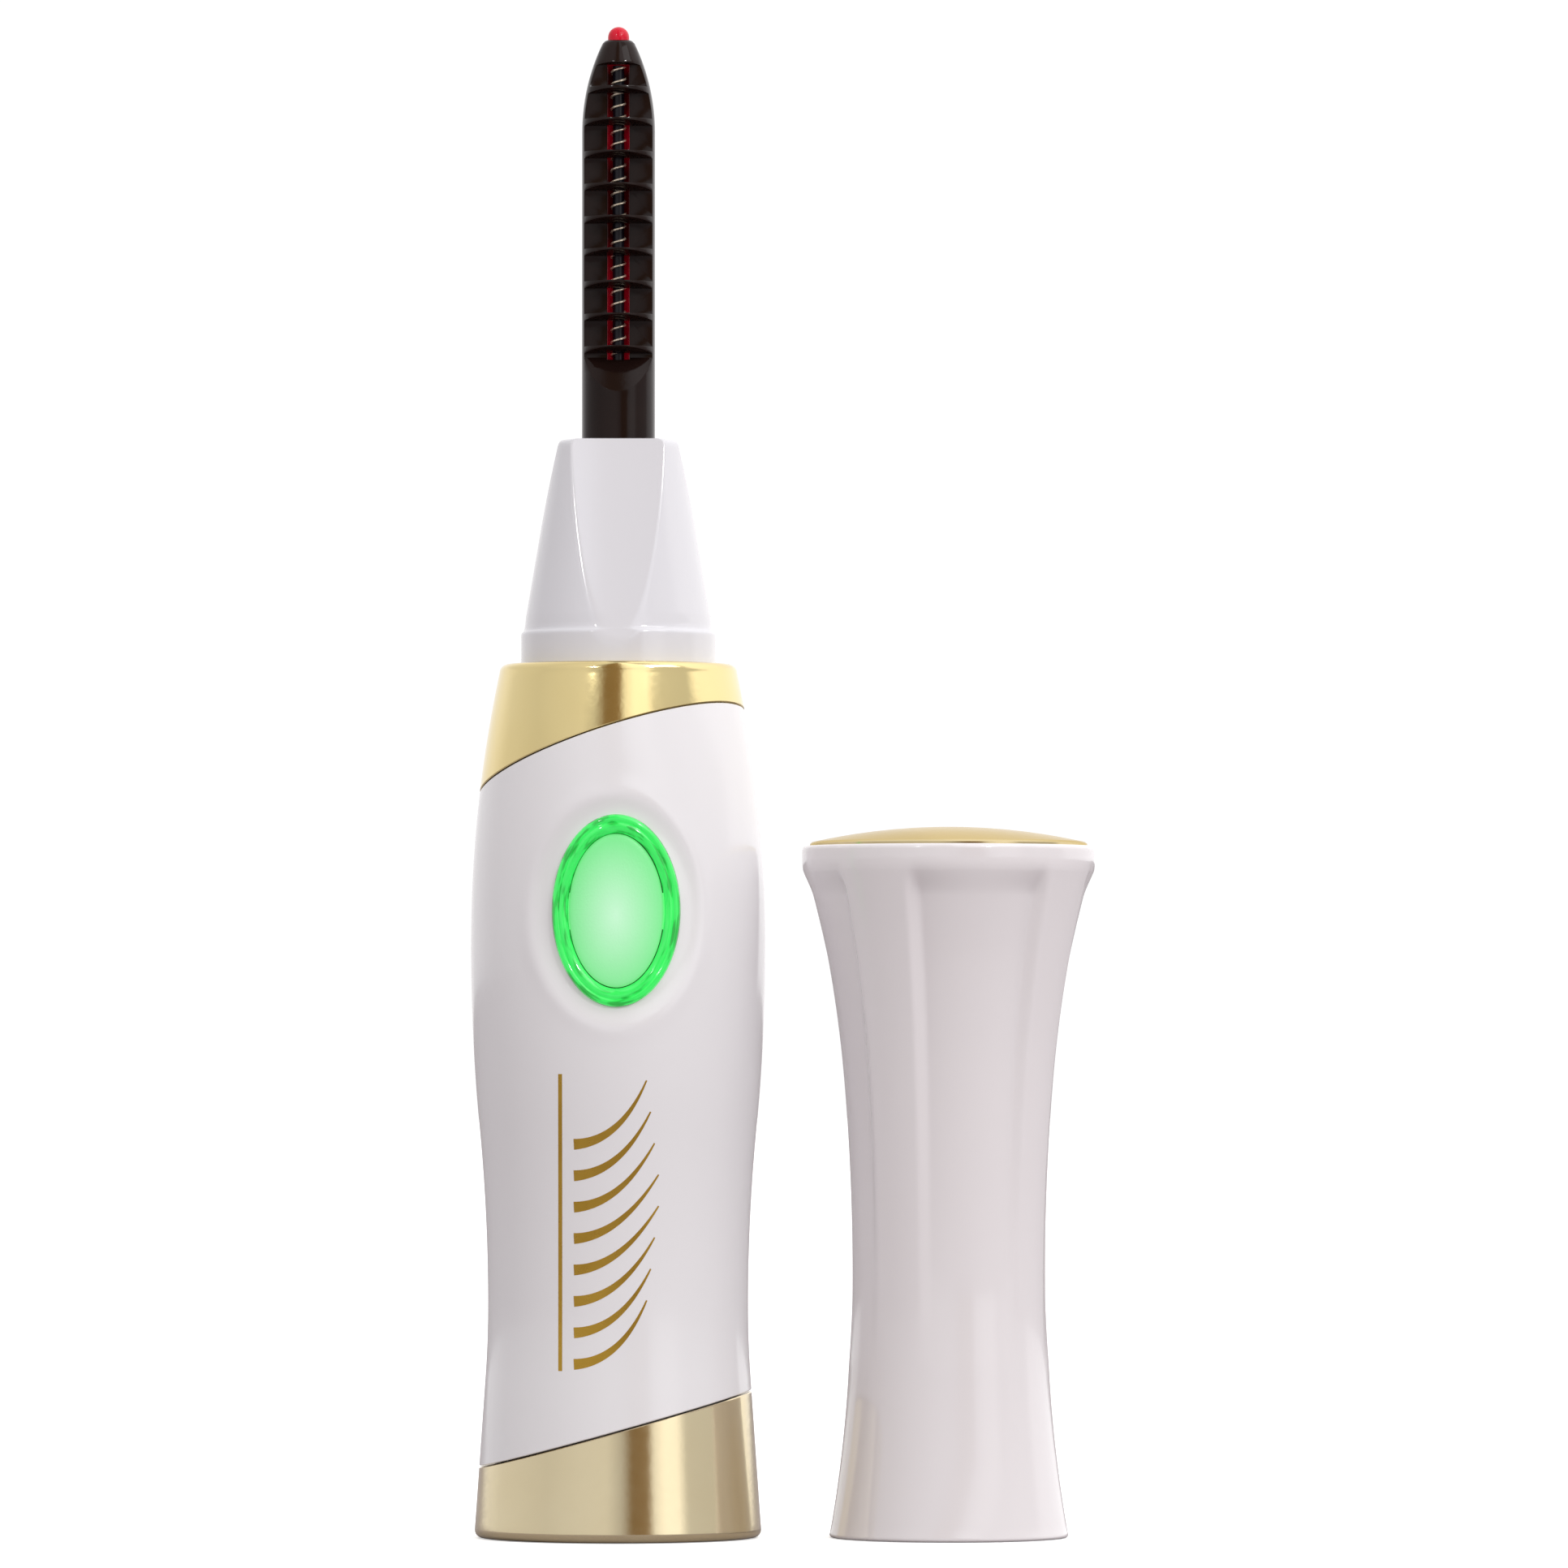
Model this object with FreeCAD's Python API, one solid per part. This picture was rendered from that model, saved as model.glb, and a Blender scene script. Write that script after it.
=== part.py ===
"""Heated eyelash curler: a pen-shaped handle with a finned, heated comb, and its cap standing beside it.

The curler stands on the flat underside of its gold base. Its axis is Z, its button faces -Y and the
cap stands at +X. All lengths are in millimetres.
"""
import FreeCAD, Part
import math
import os

# ---- driving dimensions: handle -----------------------------------------------------------------
BODY_TOP = 77.3
WAIST = (11.52, 20.5)                   # (radius, height) where the side is upright
BULGE = (13.07, 52.5)
FOOT_R = 12.73
FOOT_SWEEP_R = 90.0                     # radius of the arc from the foot's flare up to the waist
SHOULDER_SWEEP_R = 116.0                # radius of the arc from the bulge up to the collar
FLARE_TOP = 14.2
BORE_R = 9.90
COLLAR_BORE_R = 9.30
BASE_BORE_R = 11.0
BASE_FLOOR = 1.6
BASE_SEAM = (9.68, 0.279, 0.0)          # height on the axis, rise per mm of x, rise per mm of y
COLLAR_SEAM = (69.75, 0.315, -0.183)
SEAM_GAP = 0.14
SPIGOT_R = 9.85
SPIGOT_FOOT = 64.2
SHOULDER_THICK = 1.2

# ---- driving dimensions: button -----------------------------------------------------------------
BUTTON_Z = 55.3
PAD_SIZE = (8.3, 13.45)                 # width and height of the oval frosted pad
RING_SIZE = (11.2, 16.8)
MOAT_SIZE = (15.3, 20.4)
MOAT_DEPTH = 0.35
RING_PROUD = 0.05
RING_BACK = -8.95
PAD_INSET = 0.45
PAD_BACK = -11.4
BUTTON_FLANGE_GROW = 1.1
BUTTON_GAP = 0.10
STOP_GAP = 0.05

# ---- driving dimensions: nozzle and wand ---------------------------------------------------------
NOZZLE_TOP = 97.2
NOZZLE_SPIGOT_R = 8.0
NOZZLE_FOOT = 68.0
NOZZLE_TOP_R = 5.55
LIP_R = 8.64
LIP_TOP = 80.4
CONE_FOOT_R = 8.22
CONE_FOOT_Z = 81.5
SCALLOP_COUNT = 3
SCALLOP_FOOT_Z = 79.0
SCALLOP_SLOPE = 0.284                   # the floor comes in by this much per mm of height
SCALLOP_CUTTER_R = 45.0
NOZZLE_BORE_R = 3.30
ROD_R = 3.25
ROD_FOOT = 84.0
NOSE_START = 124.6
NOSE_TOP = 132.8
NOSE_TOP_R = 1.30
FLANGE_R = 4.5
FLANGE_Z = 88.0
FLANGE_THICK = 1.3

# ---- driving dimensions: comb ---------------------------------------------------------------------
FLOOR_Y = -1.2                          # flat floor that the fins stand on
FIN_COUNT = 9
FIN_PITCH = 2.89
TOP_FIN_Z = 128.6
FIN_ROOT = 0.70
FIN_UNDERCUT = 0.25                     # rise of a fin's underside per mm outwards
POCKET_TOP = 130.5
RUN_OUT_TOP = 104.6
RUN_OUT_FOOT = 101.3
SLOT_HALF = 1.02
SLOT_FOOT = 103.8
SLOT_TOP = 131.2
COIL_Y = -0.35                          # axis of the heater, just behind the floor

# ---- driving dimensions: heater --------------------------------------------------------------------
CORE_R = 0.55
WIRE_R = 0.10
COIL_R = 0.635
COIL_PITCH = 1.094
COIL_FOOT = 104.1
COIL_TURNS = 24
LINER_R = 0.99
LINER_BORE_R = 0.82
LINER_FOOT = 98.0
TIP_R = 0.95
WAND_TIP = 134.0

# ---- driving dimensions: power and board -----------------------------------------------------------
CELL_R = 5.25                           # one AAA cell, 10.5 mm by 44.5 mm
CELL_HEIGHT = 44.5
CELL_FOOT = 7.0
SPRING_TURNS = 3
NUB_R = 1.9
NUB_HEIGHT = 0.8
TUBE_R = 6.3
TUBE_BORE_R = 5.45
TUBE_FOOT = 9.0
TUBE_TOP = 54.5
PLUG_R = 9.82
PLUG_WALL = 1.1
PLUG_TOP = 16.0
BOARD_Y = -7.75                         # front face of the circuit board
BOARD_THICK = 1.0
BOARD_HALF = 5.9
BOARD_SPAN = (42.0, 63.0)
STRIP_THICK = 0.3
LEAD_WIDE = 0.50
LEAD_THICK = 0.45
LEAD_GAP = 0.12

# ---- driving dimensions: cap ------------------------------------------------------------------------
CAP_X = 29.3
CAP_FOOT_R = 10.60
CAP_WAIST = (8.72, 21.0)
CAP_NECK = (9.65, 40.5)                 # the flare steepens above here
CAP_SHOULDER = (12.95, 59.0)
CAP_MOUTH_BORE_R = 9.35
CAP_BORE_R = 7.50
CAP_THROAT_R = 10.9
CAP_THROAT_Z = 57.0
FLUTE_DEPTH = 0.75
FLUTE_COUNT = 4
FLUTE_SPREAD = 62.0
FIRST_FLUTE = 14.0
RIM_R = 13.03
RIM_Z = 60.1
CAP_RIM_TOP = 61.2
DOME_R = 12.35
DOME_EDGE_Z = 61.1
DOME_TOP = 62.9
DOME_SEAT = 60.0
LINER_OUTLINE = [           # (radius, height) outside the cap's inner sleeve
    (9.28, 0.5), (9.28, 3.7), (7.25, 15.5), (7.25, 58.9)]
LINER_WALL = 0.58
LINER_TOP_THICK = 0.7

ORIGIN = FreeCAD.Vector(0, 0, 0)
UP = FreeCAD.Vector(0, 0, 1)
REACH = 80.0


# ---- general shapes ------------------------------------------------------------------------------
def at(x, y, z):
    return FreeCAD.Vector(x, y, z)


def swept_radius(upright, sweep_r, z):
    """Radius at height z of a side that is upright at a (radius, height); negative bulges out."""
    radius, height = upright
    leave = abs(sweep_r) - math.sqrt(sweep_r ** 2 - (z - height) ** 2)
    return radius + math.copysign(leave, sweep_r)


def steps(low, high, count):
    return [low + (high - low) * step / count for step in range(count + 1)]


def straights(outline):
    points = [at(radius, 0, height) for radius, height in outline]
    return [Part.LineSegment(a, b).toShape() for a, b in zip(points, points[1:])]


def turned(outline):
    """Turn an outline, closed back to the axis by straight lines, about Z."""
    return turned_outline(outline + [(0, outline[-1][1]), (0, outline[0][1])])


def turned_outline(outline):
    """A solid turned about Z from a closed outline of straight lines."""
    face = Part.Face(Part.Wire(straights(outline + outline[:1])))
    return face.revolve(ORIGIN, UP, 360)


def rod(radius, low, high, x=0.0, y=0.0):
    return Part.makeCylinder(radius, high - low, at(x, y, low))


def tube(outer, inner, low, high):
    return rod(outer, low, high).cut(rod(inner, low, high))


def block(low, high):
    """A box between two corners."""
    size = [b - a for a, b in zip(low, high)]
    return Part.makeBox(size[0], size[1], size[2], at(*low))


def handle_radius(z):
    """Radius of the handle: a straight flare, a waist, a bulge and a falling shoulder."""
    rise = (BULGE[1] - WAIST[1]) / 2
    spread = (BULGE[0] - WAIST[0]) / 2
    middle_sweep_r = (rise ** 2 + spread ** 2) / (2 * spread)
    if z < FLARE_TOP:
        flare_top_r = swept_radius(WAIST, FOOT_SWEEP_R, FLARE_TOP)
        return FOOT_R + (flare_top_r - FOOT_R) * z / FLARE_TOP
    if z < WAIST[1]:
        return swept_radius(WAIST, FOOT_SWEEP_R, z)
    if z < WAIST[1] + rise:
        return swept_radius(WAIST, middle_sweep_r, z)
    if z < BULGE[1]:
        return swept_radius(BULGE, -middle_sweep_r, z)
    return swept_radius(BULGE, -SHOULDER_SWEEP_R, z)


def handle_body(depth):
    """The whole handle form, taken in by a depth, as conical bands on the smooth side."""
    heights = [0.0, FLARE_TOP] + steps(WAIST[1], BULGE[1], 4) + steps(BULGE[1], BODY_TOP, 3)[1:]
    return turned([(handle_radius(z) - depth, z) for z in heights])


def below(seam, shift):
    """Everything under a slanted seam plane moved along Z by shift."""
    height, rise_x, rise_y = seam
    top = at(-rise_x, -rise_y, 1)
    big = Part.makeBox(2 * REACH, 2 * REACH, 3 * REACH, at(-REACH, -REACH, -3 * REACH))
    big.Placement = FreeCAD.Placement(at(0, 0, height + shift), FreeCAD.Rotation(UP, top))
    return big


def oval(size, near, far):
    """An upright oval prism along Y at the button, between two values of y."""
    width, height = size
    curve = Part.Ellipse(at(0, 0, 0), height / 2, width / 2)
    face = Part.Face(Part.Wire(curve.toShape()))
    face.rotate(ORIGIN, at(1, 0, 0), 90)
    face.rotate(ORIGIN, at(0, 1, 0), 90)
    face.translate(at(0, near, BUTTON_Z))
    return face.extrude(at(0, far - near, 0))


def grown(size, amount):
    return (size[0] + amount, size[1] + amount)


def joined(pieces):
    whole = pieces[0]
    for piece in pieces[1:]:
        whole = whole.fuse(piece)
    return whole.removeSplitter()


def edge_height(edge, height):
    """True where the whole edge lies at one height."""
    box = edge.BoundBox
    return abs(box.ZMin - height) < 0.01 and abs(box.ZMax - height) < 0.01


# ---- base: stays on the table when the handle is pulled off ---------------------------------------
def base_cap():
    cup = handle_body(0).common(below(BASE_SEAM, -SEAM_GAP / 2))
    cup = cup.cut(rod(BASE_BORE_R, BASE_FLOOR, REACH))
    return cup.makeChamfer(0.4, [edge for edge in cup.Edges if edge_height(edge, 0.0)])


def base_plug():
    """Moulded insert that seats the spring and guides the sleeve on."""
    floor_top = BASE_FLOOR + 1.8
    floor = rod(PLUG_R, BASE_FLOOR, floor_top)
    wall = tube(PLUG_R, PLUG_R - PLUG_WALL, BASE_FLOOR, PLUG_TOP)
    plug = joined([floor, wall])
    slot = block((-2, PLUG_R - 2 * PLUG_WALL, floor_top + 1), (2, PLUG_R + 1, PLUG_TOP + 1))
    return plug.cut(slot)


def negative_contact():
    """Plated spring seat with a leaf that meets the strip inside the handle."""
    low = BASE_FLOOR + 1.8
    seat = rod(CELL_R, low, low + STRIP_THICK)
    foot = block((-1.4, 0, low), (1.4, 7.6, low + STRIP_THICK))
    leaf = block((-1.4, 7.3, low), (1.4, 7.3 + STRIP_THICK, 14.0))
    return joined([seat, foot, leaf])


def battery_spring():
    """Flat-wire spring, wound as a helix between its seat and the cell."""
    wire = 0.5
    low = BASE_FLOOR + 1.8 + STRIP_THICK
    rise = CELL_FOOT - low - wire
    coil_r = 3.9
    helix = Part.makeLongHelix(rise / SPRING_TURNS, rise, coil_r)
    section = Part.makePolygon([
        at(coil_r, 0, 0), at(coil_r + wire, 0, 0), at(coil_r + wire, 0, wire),
        at(coil_r, 0, wire), at(coil_r, 0, 0)])
    spring = Part.Wire(helix.Edges).makePipeShell([section], True, True)
    spring.translate(at(0, 0, low))
    return spring


def battery():
    can = rod(CELL_R, CELL_FOOT, CELL_FOOT + CELL_HEIGHT - NUB_HEIGHT)
    can = can.makeChamfer(0.3, [edge for edge in can.Edges if edge.Closed])
    nub = rod(NUB_R, CELL_FOOT + 1, CELL_FOOT + CELL_HEIGHT)
    return joined([can, nub])


# ---- handle: shells --------------------------------------------------------------------------------
def body_sleeve():
    """White waisted shell between the slanted seams, dished around the oval button."""
    sleeve = handle_body(0).cut(rod(BORE_R, 0, REACH))
    sleeve = sleeve.common(below(COLLAR_SEAM, -SEAM_GAP / 2)).cut(below(BASE_SEAM, SEAM_GAP / 2))
    moat = oval(MOAT_SIZE, -REACH, -2).cut(handle_body(MOAT_DEPTH))
    window = oval(grown(RING_SIZE, 0.06), -REACH, -2)
    return sleeve.cut(moat).cut(window)


def collar_ring():
    """Gold collar: slanted skirt, shoulder and the spigot that the sleeve slides over."""
    skirt = handle_body(0).cut(below(COLLAR_SEAM, SEAM_GAP / 2))
    spigot = rod(SPIGOT_R, SPIGOT_FOOT, BODY_TOP)
    collar = joined([skirt, spigot])
    collar = collar.cut(rod(COLLAR_BORE_R, SPIGOT_FOOT - 1, BODY_TOP - SHOULDER_THICK))
    collar = collar.cut(rod(NOZZLE_SPIGOT_R + 0.03, SPIGOT_FOOT, BODY_TOP + 1))
    rim = [edge for edge in collar.Edges if edge_height(edge, BODY_TOP) and edge.BoundBox.XMax > 9]
    return collar.makeChamfer(0.5, rim)


def scallop_cutter():
    """A long drum whose side mills one shallow scallop up the front of the cone."""
    drum = Part.makeCylinder(SCALLOP_CUTTER_R, 2 * REACH, at(0, 0, -REACH))
    drum.translate(at(0, -SCALLOP_CUTTER_R, 0))
    drum.rotate(ORIGIN, at(1, 0, 0), -math.degrees(math.atan(SCALLOP_SLOPE)))
    drum.translate(at(0, -LIP_R, SCALLOP_FOOT_Z))
    return drum


def nozzle():
    """White cone that carries the wand, with three scallops and a rounded lip at its foot."""
    foot = NOZZLE_FOOT
    outside = turned_outline([
        (0, foot), (NOZZLE_SPIGOT_R, foot), (NOZZLE_SPIGOT_R, BODY_TOP), (LIP_R, BODY_TOP),
        (LIP_R, LIP_TOP),
        (CONE_FOOT_R, CONE_FOOT_Z), (NOZZLE_TOP_R, NOZZLE_TOP), (0, NOZZLE_TOP)])
    rims = [edge for edge in outside.Edges if edge_height(edge, NOZZLE_TOP) and edge.Closed]
    outside = outside.makeChamfer(0.4, rims)
    hollow_r = 6.9
    floor_in = LIP_R - 0.8
    cone_low = SCALLOP_FOOT_Z + (floor_in - hollow_r) / SCALLOP_SLOPE
    cone_high = SCALLOP_FOOT_Z + (floor_in - NOZZLE_BORE_R) / SCALLOP_SLOPE
    inside = turned_outline([
        (0, foot - 1), (hollow_r, foot - 1), (hollow_r, cone_low), (NOZZLE_BORE_R, cone_high),
        (NOZZLE_BORE_R, NOZZLE_TOP + 1), (0, NOZZLE_TOP + 1)])
    cone = outside.cut(inside)
    cutter = scallop_cutter().common(rod(REACH, BODY_TOP, NOZZLE_TOP + 2))
    for turn in range(SCALLOP_COUNT):
        tool = cutter.copy()
        tool.rotate(ORIGIN, UP, 360.0 * turn / SCALLOP_COUNT)
        cone = cone.cut(tool)
    return cone


def wand_holder():
    """Plug pressed up into the cone; it traps the wand's flange and lets the leads through."""
    top = FLANGE_Z - 0.05
    return turned_outline([
        (5.6, 70.0), (6.85, 70.0), (6.85, 82.0), (5.1, top), (ROD_R + 0.05, top),
        (ROD_R + 0.05, 82.5), (5.6, 80.0)])


# ---- handle: wand ----------------------------------------------------------------------------------
def pocket(low, high_root, undercut):
    """Space between two fins, seen from the side and cut right across the rod."""
    front = -ROD_R - 0.5
    rise = undercut * (FLOOR_Y - front)
    corners = [
        at(0, FLOOR_Y, low), at(0, FLOOR_Y, high_root), at(0, front, high_root + rise),
        at(0, front, low), at(0, FLOOR_Y, low)]
    face = Part.Face(Part.makePolygon(corners))
    face.translate(at(-ROD_R - 1, 0, 0))
    return face.extrude(at(2 * ROD_R + 2, 0, 0))


def heater_channel(radius, low, high, front):
    """A U-shaped bar along Z: round at the back, straight-sided up to the front."""
    back = rod(radius, low, high, 0, COIL_Y)
    sides = block((-radius, front, low), (radius, COIL_Y, high))
    return back.fuse(sides).removeSplitter()


def comb_housing():
    """Black round wand with an ogive nose, a flat floor, nine undercut fins and a centre slot."""
    shoulder = FLANGE_Z + FLANGE_THICK
    nose_sweep_r = (NOSE_TOP - NOSE_START) ** 2 / (2 * (ROD_R - NOSE_TOP_R)) + 1.0
    nose = [(swept_radius((ROD_R, NOSE_START), -nose_sweep_r, z), z)
            for z in steps(NOSE_START, NOSE_TOP, 3)]
    shank = [
        (ROD_R, ROD_FOOT), (ROD_R, FLANGE_Z), (FLANGE_R, FLANGE_Z), (FLANGE_R, shoulder - 0.5),
        (FLANGE_R - 0.5, shoulder), (ROD_R, shoulder)]
    wand = turned(shank + nose)
    wand = wand.cut(heater_channel(SLOT_HALF, ROD_FOOT - 1, SLOT_FOOT, COIL_Y - 0.4))
    wand = wand.cut(heater_channel(SLOT_HALF, SLOT_FOOT - 0.5, SLOT_TOP, FLOOR_Y - 0.1))
    wand = wand.cut(rod(TIP_R + 0.03, SLOT_TOP - 1, NOSE_TOP + 1, 0, COIL_Y + 0.1))
    fin_tops = [TOP_FIN_Z - FIN_PITCH * fin for fin in range(FIN_COUNT)]
    ceilings = [POCKET_TOP] + [top - FIN_ROOT for top in fin_tops[:-1]]
    for low, high in zip(fin_tops, ceilings):
        wand = wand.cut(pocket(low, high, FIN_UNDERCUT))
    run_out = [
        at(0, FLOOR_Y, fin_tops[-1] - FIN_ROOT), at(0, -4, fin_tops[-1]),
        at(0, -4, RUN_OUT_FOOT - 1.2), at(0, FLOOR_Y, RUN_OUT_TOP - 0.3)]
    face = Part.Face(Part.makePolygon(run_out + run_out[:1]))
    face.translate(at(-ROD_R - 1, 0, 0))
    return wand.cut(face.extrude(at(2 * ROD_R + 2, 0, 0)))


def heat_indicator():
    """Red liner behind the coil; its stem shows as a rounded tip at the end of the nose."""
    top = SLOT_TOP - 0.1
    liner = heater_channel(LINER_R, LINER_FOOT, top, COIL_Y - 0.35)
    liner = liner.cut(heater_channel(LINER_BORE_R, LINER_FOOT - 1, top - 0.5, FLOOR_Y - 1))
    stem = rod(TIP_R, top - 0.1, WAND_TIP - TIP_R, 0, COIL_Y + 0.1)
    tip = Part.makeSphere(TIP_R, at(0, COIL_Y + 0.1, WAND_TIP - TIP_R))
    return joined([liner, stem, tip])


def heater_core():
    return rod(CORE_R - 0.03, LINER_FOOT - 3, SLOT_TOP - 0.7, 0, COIL_Y)


def heater_coil():
    """Envelope of the resistance wire that is wound on the core."""
    high = COIL_FOOT + COIL_PITCH * COIL_TURNS
    winding = rod(COIL_R + WIRE_R, COIL_FOOT, high, 0, COIL_Y)
    return winding.cut(rod(CORE_R, COIL_FOOT - 1, high + 1, 0, COIL_Y))


def heater_leads():
    """Two flat insulated leads from the foot of the core down to the top edge of the board."""
    board_mid = BOARD_Y + BOARD_THICK / 2
    route = [(COIL_Y, LINER_FOOT - 3.05), (COIL_Y, 74.0), (board_mid, 66.5), (board_mid, BOARD_SPAN[1])]
    near = [at(0, y - LEAD_THICK / 2, z) for y, z in route]
    far = [at(0, y + LEAD_THICK / 2, z) for y, z in reversed(route)]
    ribbon = Part.Face(Part.makePolygon(near + far + near[:1]))
    leads = []
    for x in (-LEAD_WIDE - LEAD_GAP / 2, LEAD_GAP / 2):
        lead = ribbon.extrude(at(LEAD_WIDE, 0, 0))
        lead.translate(at(x, 0, 0))
        leads.append(lead)
    return Part.makeCompound(leads)


# ---- handle: frame, board and contacts --------------------------------------------------------------
def chassis():
    """Battery tube with a tray in front that carries the board, and ribs that centre it."""
    cell = tube(TUBE_R, TUBE_BORE_R, TUBE_FOOT, TUBE_TOP)
    lid = rod(TUBE_R, TUBE_TOP - 1.3, TUBE_TOP)
    tray_back = BOARD_Y + BOARD_THICK + 1.4
    tray = block((-BOARD_HALF, BOARD_Y + BOARD_THICK + 0.05, BOARD_SPAN[0]),
                 (BOARD_HALF, tray_back, BOARD_SPAN[1]))
    rib_tops = 24.0
    rib = block((-9.6, -0.6, 18.0), (9.6, 0.6, rib_tops)).cut(rod(TUBE_BORE_R, 0, REACH))
    rib_high = block((-9.6, -0.6, 44.0), (9.6, 0.6, 50.0)).cut(rod(TUBE_BORE_R, 0, REACH))
    frame = joined([cell, lid, tray, rib, rib_high]).cut(rod(TUBE_BORE_R, 0, TUBE_TOP - 1.3))
    front_notch = block((-2.1, -TUBE_R - 2, 51.3), (2.1, -2.0, TUBE_TOP - 1.2))
    top_notch = block((-1.8, -TUBE_R - 2, TUBE_TOP), (1.8, 0, TUBE_TOP + 0.6))
    return frame.cut(front_notch).cut(top_notch)


def positive_contact():
    low = CELL_FOOT + CELL_HEIGHT + 0.05
    plate = rod(3.6, low, low + STRIP_THICK)
    tab = block((-1.6, BOARD_Y + BOARD_THICK, low), (1.6, 0, low + STRIP_THICK))
    return joined([plate, tab])


def contact_strip():
    """Return strip up the back of the battery tube, over its lid and forward to the board."""
    back = TUBE_R + 0.02
    low = TUBE_TOP + 0.05
    riser = block((-1.5, back, 12.0), (1.5, back + STRIP_THICK, low + STRIP_THICK))
    bridge = block((-1.5, BOARD_Y + BOARD_THICK, low), (1.5, back + STRIP_THICK, low + STRIP_THICK))
    return joined([riser, bridge])


def circuit_board():
    board = block((-BOARD_HALF, BOARD_Y, BOARD_SPAN[0]),
                  (BOARD_HALF, BOARD_Y + BOARD_THICK, BOARD_SPAN[1]))
    corner = lambda edge: abs(edge.tangentAt(0).y) > 0.99
    board = board.makeChamfer(1.0, [edge for edge in board.Edges if corner(edge)])
    for x, z in screw_places():
        board = board.cut(screw_hole(x, z, 0.75))
    return board


def screw_places():
    return [(-3.9, BOARD_SPAN[0] + 1.6), (3.9, BOARD_SPAN[1] - 1.6)]


def screw_hole(x, z, radius):
    return Part.makeCylinder(radius, 4, at(x, BOARD_Y - 1, z), at(0, 1, 0))


def board_screws():
    screws = []
    for x, z in screw_places():
        head = Part.makeCylinder(1.1, 0.6, at(x, BOARD_Y - 0.6, z), at(0, 1, 0))
        shank = Part.makeCylinder(0.7, BOARD_THICK + 0.6, at(x, BOARD_Y - 0.6, z), at(0, 1, 0))
        screws.append(head.fuse(shank))
    return Part.makeCompound(screws)


def board_components():
    """Controller chip and the small parts beside it, all on the front of the board."""
    places = [
        (0.6, 45.4, 4.2, 4.2, 0.9), (-4.2, 47.8, 1.0, 2.0, 0.7), (4.4, 44.0, 1.2, 2.0, 0.7),
        (4.4, 47.8, 1.0, 1.8, 0.6), (-3.6, 61.0, 2.0, 1.2, 0.7)]
    bodies = []
    for x, z, width, height, depth in places:
        bodies.append(block((x - width / 2, BOARD_Y - depth, z - height / 2),
                            (x + width / 2, BOARD_Y, z + height / 2)))
    return Part.makeCompound(bodies)


def indicator_leds():
    """Two lamps on the board that light the clear ring and the frosted pad."""
    lamps = []
    for side in (-1, 1):
        x = side * 4.6
        lamps.append(block((x - 0.8, BOARD_Y - 1.0, BUTTON_Z - 1.6),
                           (x + 0.8, BOARD_Y, BUTTON_Z + 1.6)))
    return Part.makeCompound(lamps)


def switch_base():
    """Tactile switch body, open in front for its plunger."""
    half = 2.3
    front = BOARD_Y - 1.3
    body = block((-half, front, BUTTON_Z - half), (half, BOARD_Y, BUTTON_Z + half))
    well = Part.makeCylinder(1.65, 1.0, at(0, front - 0.01, BUTTON_Z), at(0, 1, 0))
    return body.cut(well)


def switch_cover():
    """Thin metal plate over the switch body, holed for the plunger."""
    half = 2.25
    front = BOARD_Y - 1.5
    plate = block((-half, front, BUTTON_Z - half), (half, front + 0.2, BUTTON_Z + half))
    return plate.cut(Part.makeCylinder(1.2, 1.0, at(0, front - 0.2, BUTTON_Z), at(0, 1, 0)))


def light_ring():
    """Clear oval ring, curved with the handle, that guides light up from the lamps."""
    ring = oval(RING_SIZE, -REACH, RING_BACK).common(handle_body(-RING_PROUD))
    ring = ring.cut(oval(grown(PAD_SIZE, 2 * BUTTON_GAP), -REACH, -2))
    stepped = grown(PAD_SIZE, BUTTON_FLANGE_GROW + 2 * BUTTON_GAP)
    return ring.cut(oval(stepped, PAD_BACK - STOP_GAP, -2))


# ---- bodies that move on the handle -----------------------------------------------------------------
def power_button():
    """Frosted oval pad with a hidden flange and the post that presses the switch."""
    pad = oval(PAD_SIZE, -REACH, PAD_BACK).common(handle_body(PAD_INSET))
    flange = oval(grown(PAD_SIZE, BUTTON_FLANGE_GROW), PAD_BACK, PAD_BACK + 0.6)
    post = Part.makeCylinder(1.5, 1.0, at(0, PAD_BACK, BUTTON_Z), at(0, 1, 0))
    return joined([pad, flange, post])


def switch_plunger():
    front = PAD_BACK + 1.0 + STOP_GAP
    return Part.makeCylinder(1.1, 1.7, at(0, front, BUTTON_Z), at(0, 1, 0))


# ---- cap --------------------------------------------------------------------------------------------
def cap_radius(z, depth):
    """Radius of the cap, taken in by a depth that grows from the waist up to the shoulder."""
    waist_r, waist_z = CAP_WAIST
    neck_z, shoulder_z = CAP_NECK[1], CAP_SHOULDER[1]
    if z <= waist_z:
        return waist_r + (CAP_FOOT_R - waist_r) * ((waist_z - z) / waist_z) ** 2
    neck_r = CAP_NECK[0] - depth / 2
    if z <= neck_z:
        return waist_r + (neck_r - waist_r) * ((z - waist_z) / (neck_z - waist_z)) ** 2
    lean = 2 * (neck_r - waist_r) / (neck_z - waist_z)
    bend = CAP_SHOULDER[0] - depth - neck_r - lean * (shoulder_z - neck_z)
    return neck_r + lean * (z - neck_z) + bend * ((z - neck_z) / (shoulder_z - neck_z)) ** 2


def flare_heights():
    """Heights of the conical bands between the cap's waist and its shoulder."""
    return steps(CAP_WAIST[1], CAP_NECK[1], 2) + steps(CAP_NECK[1], CAP_SHOULDER[1], 4)[1:]


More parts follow.
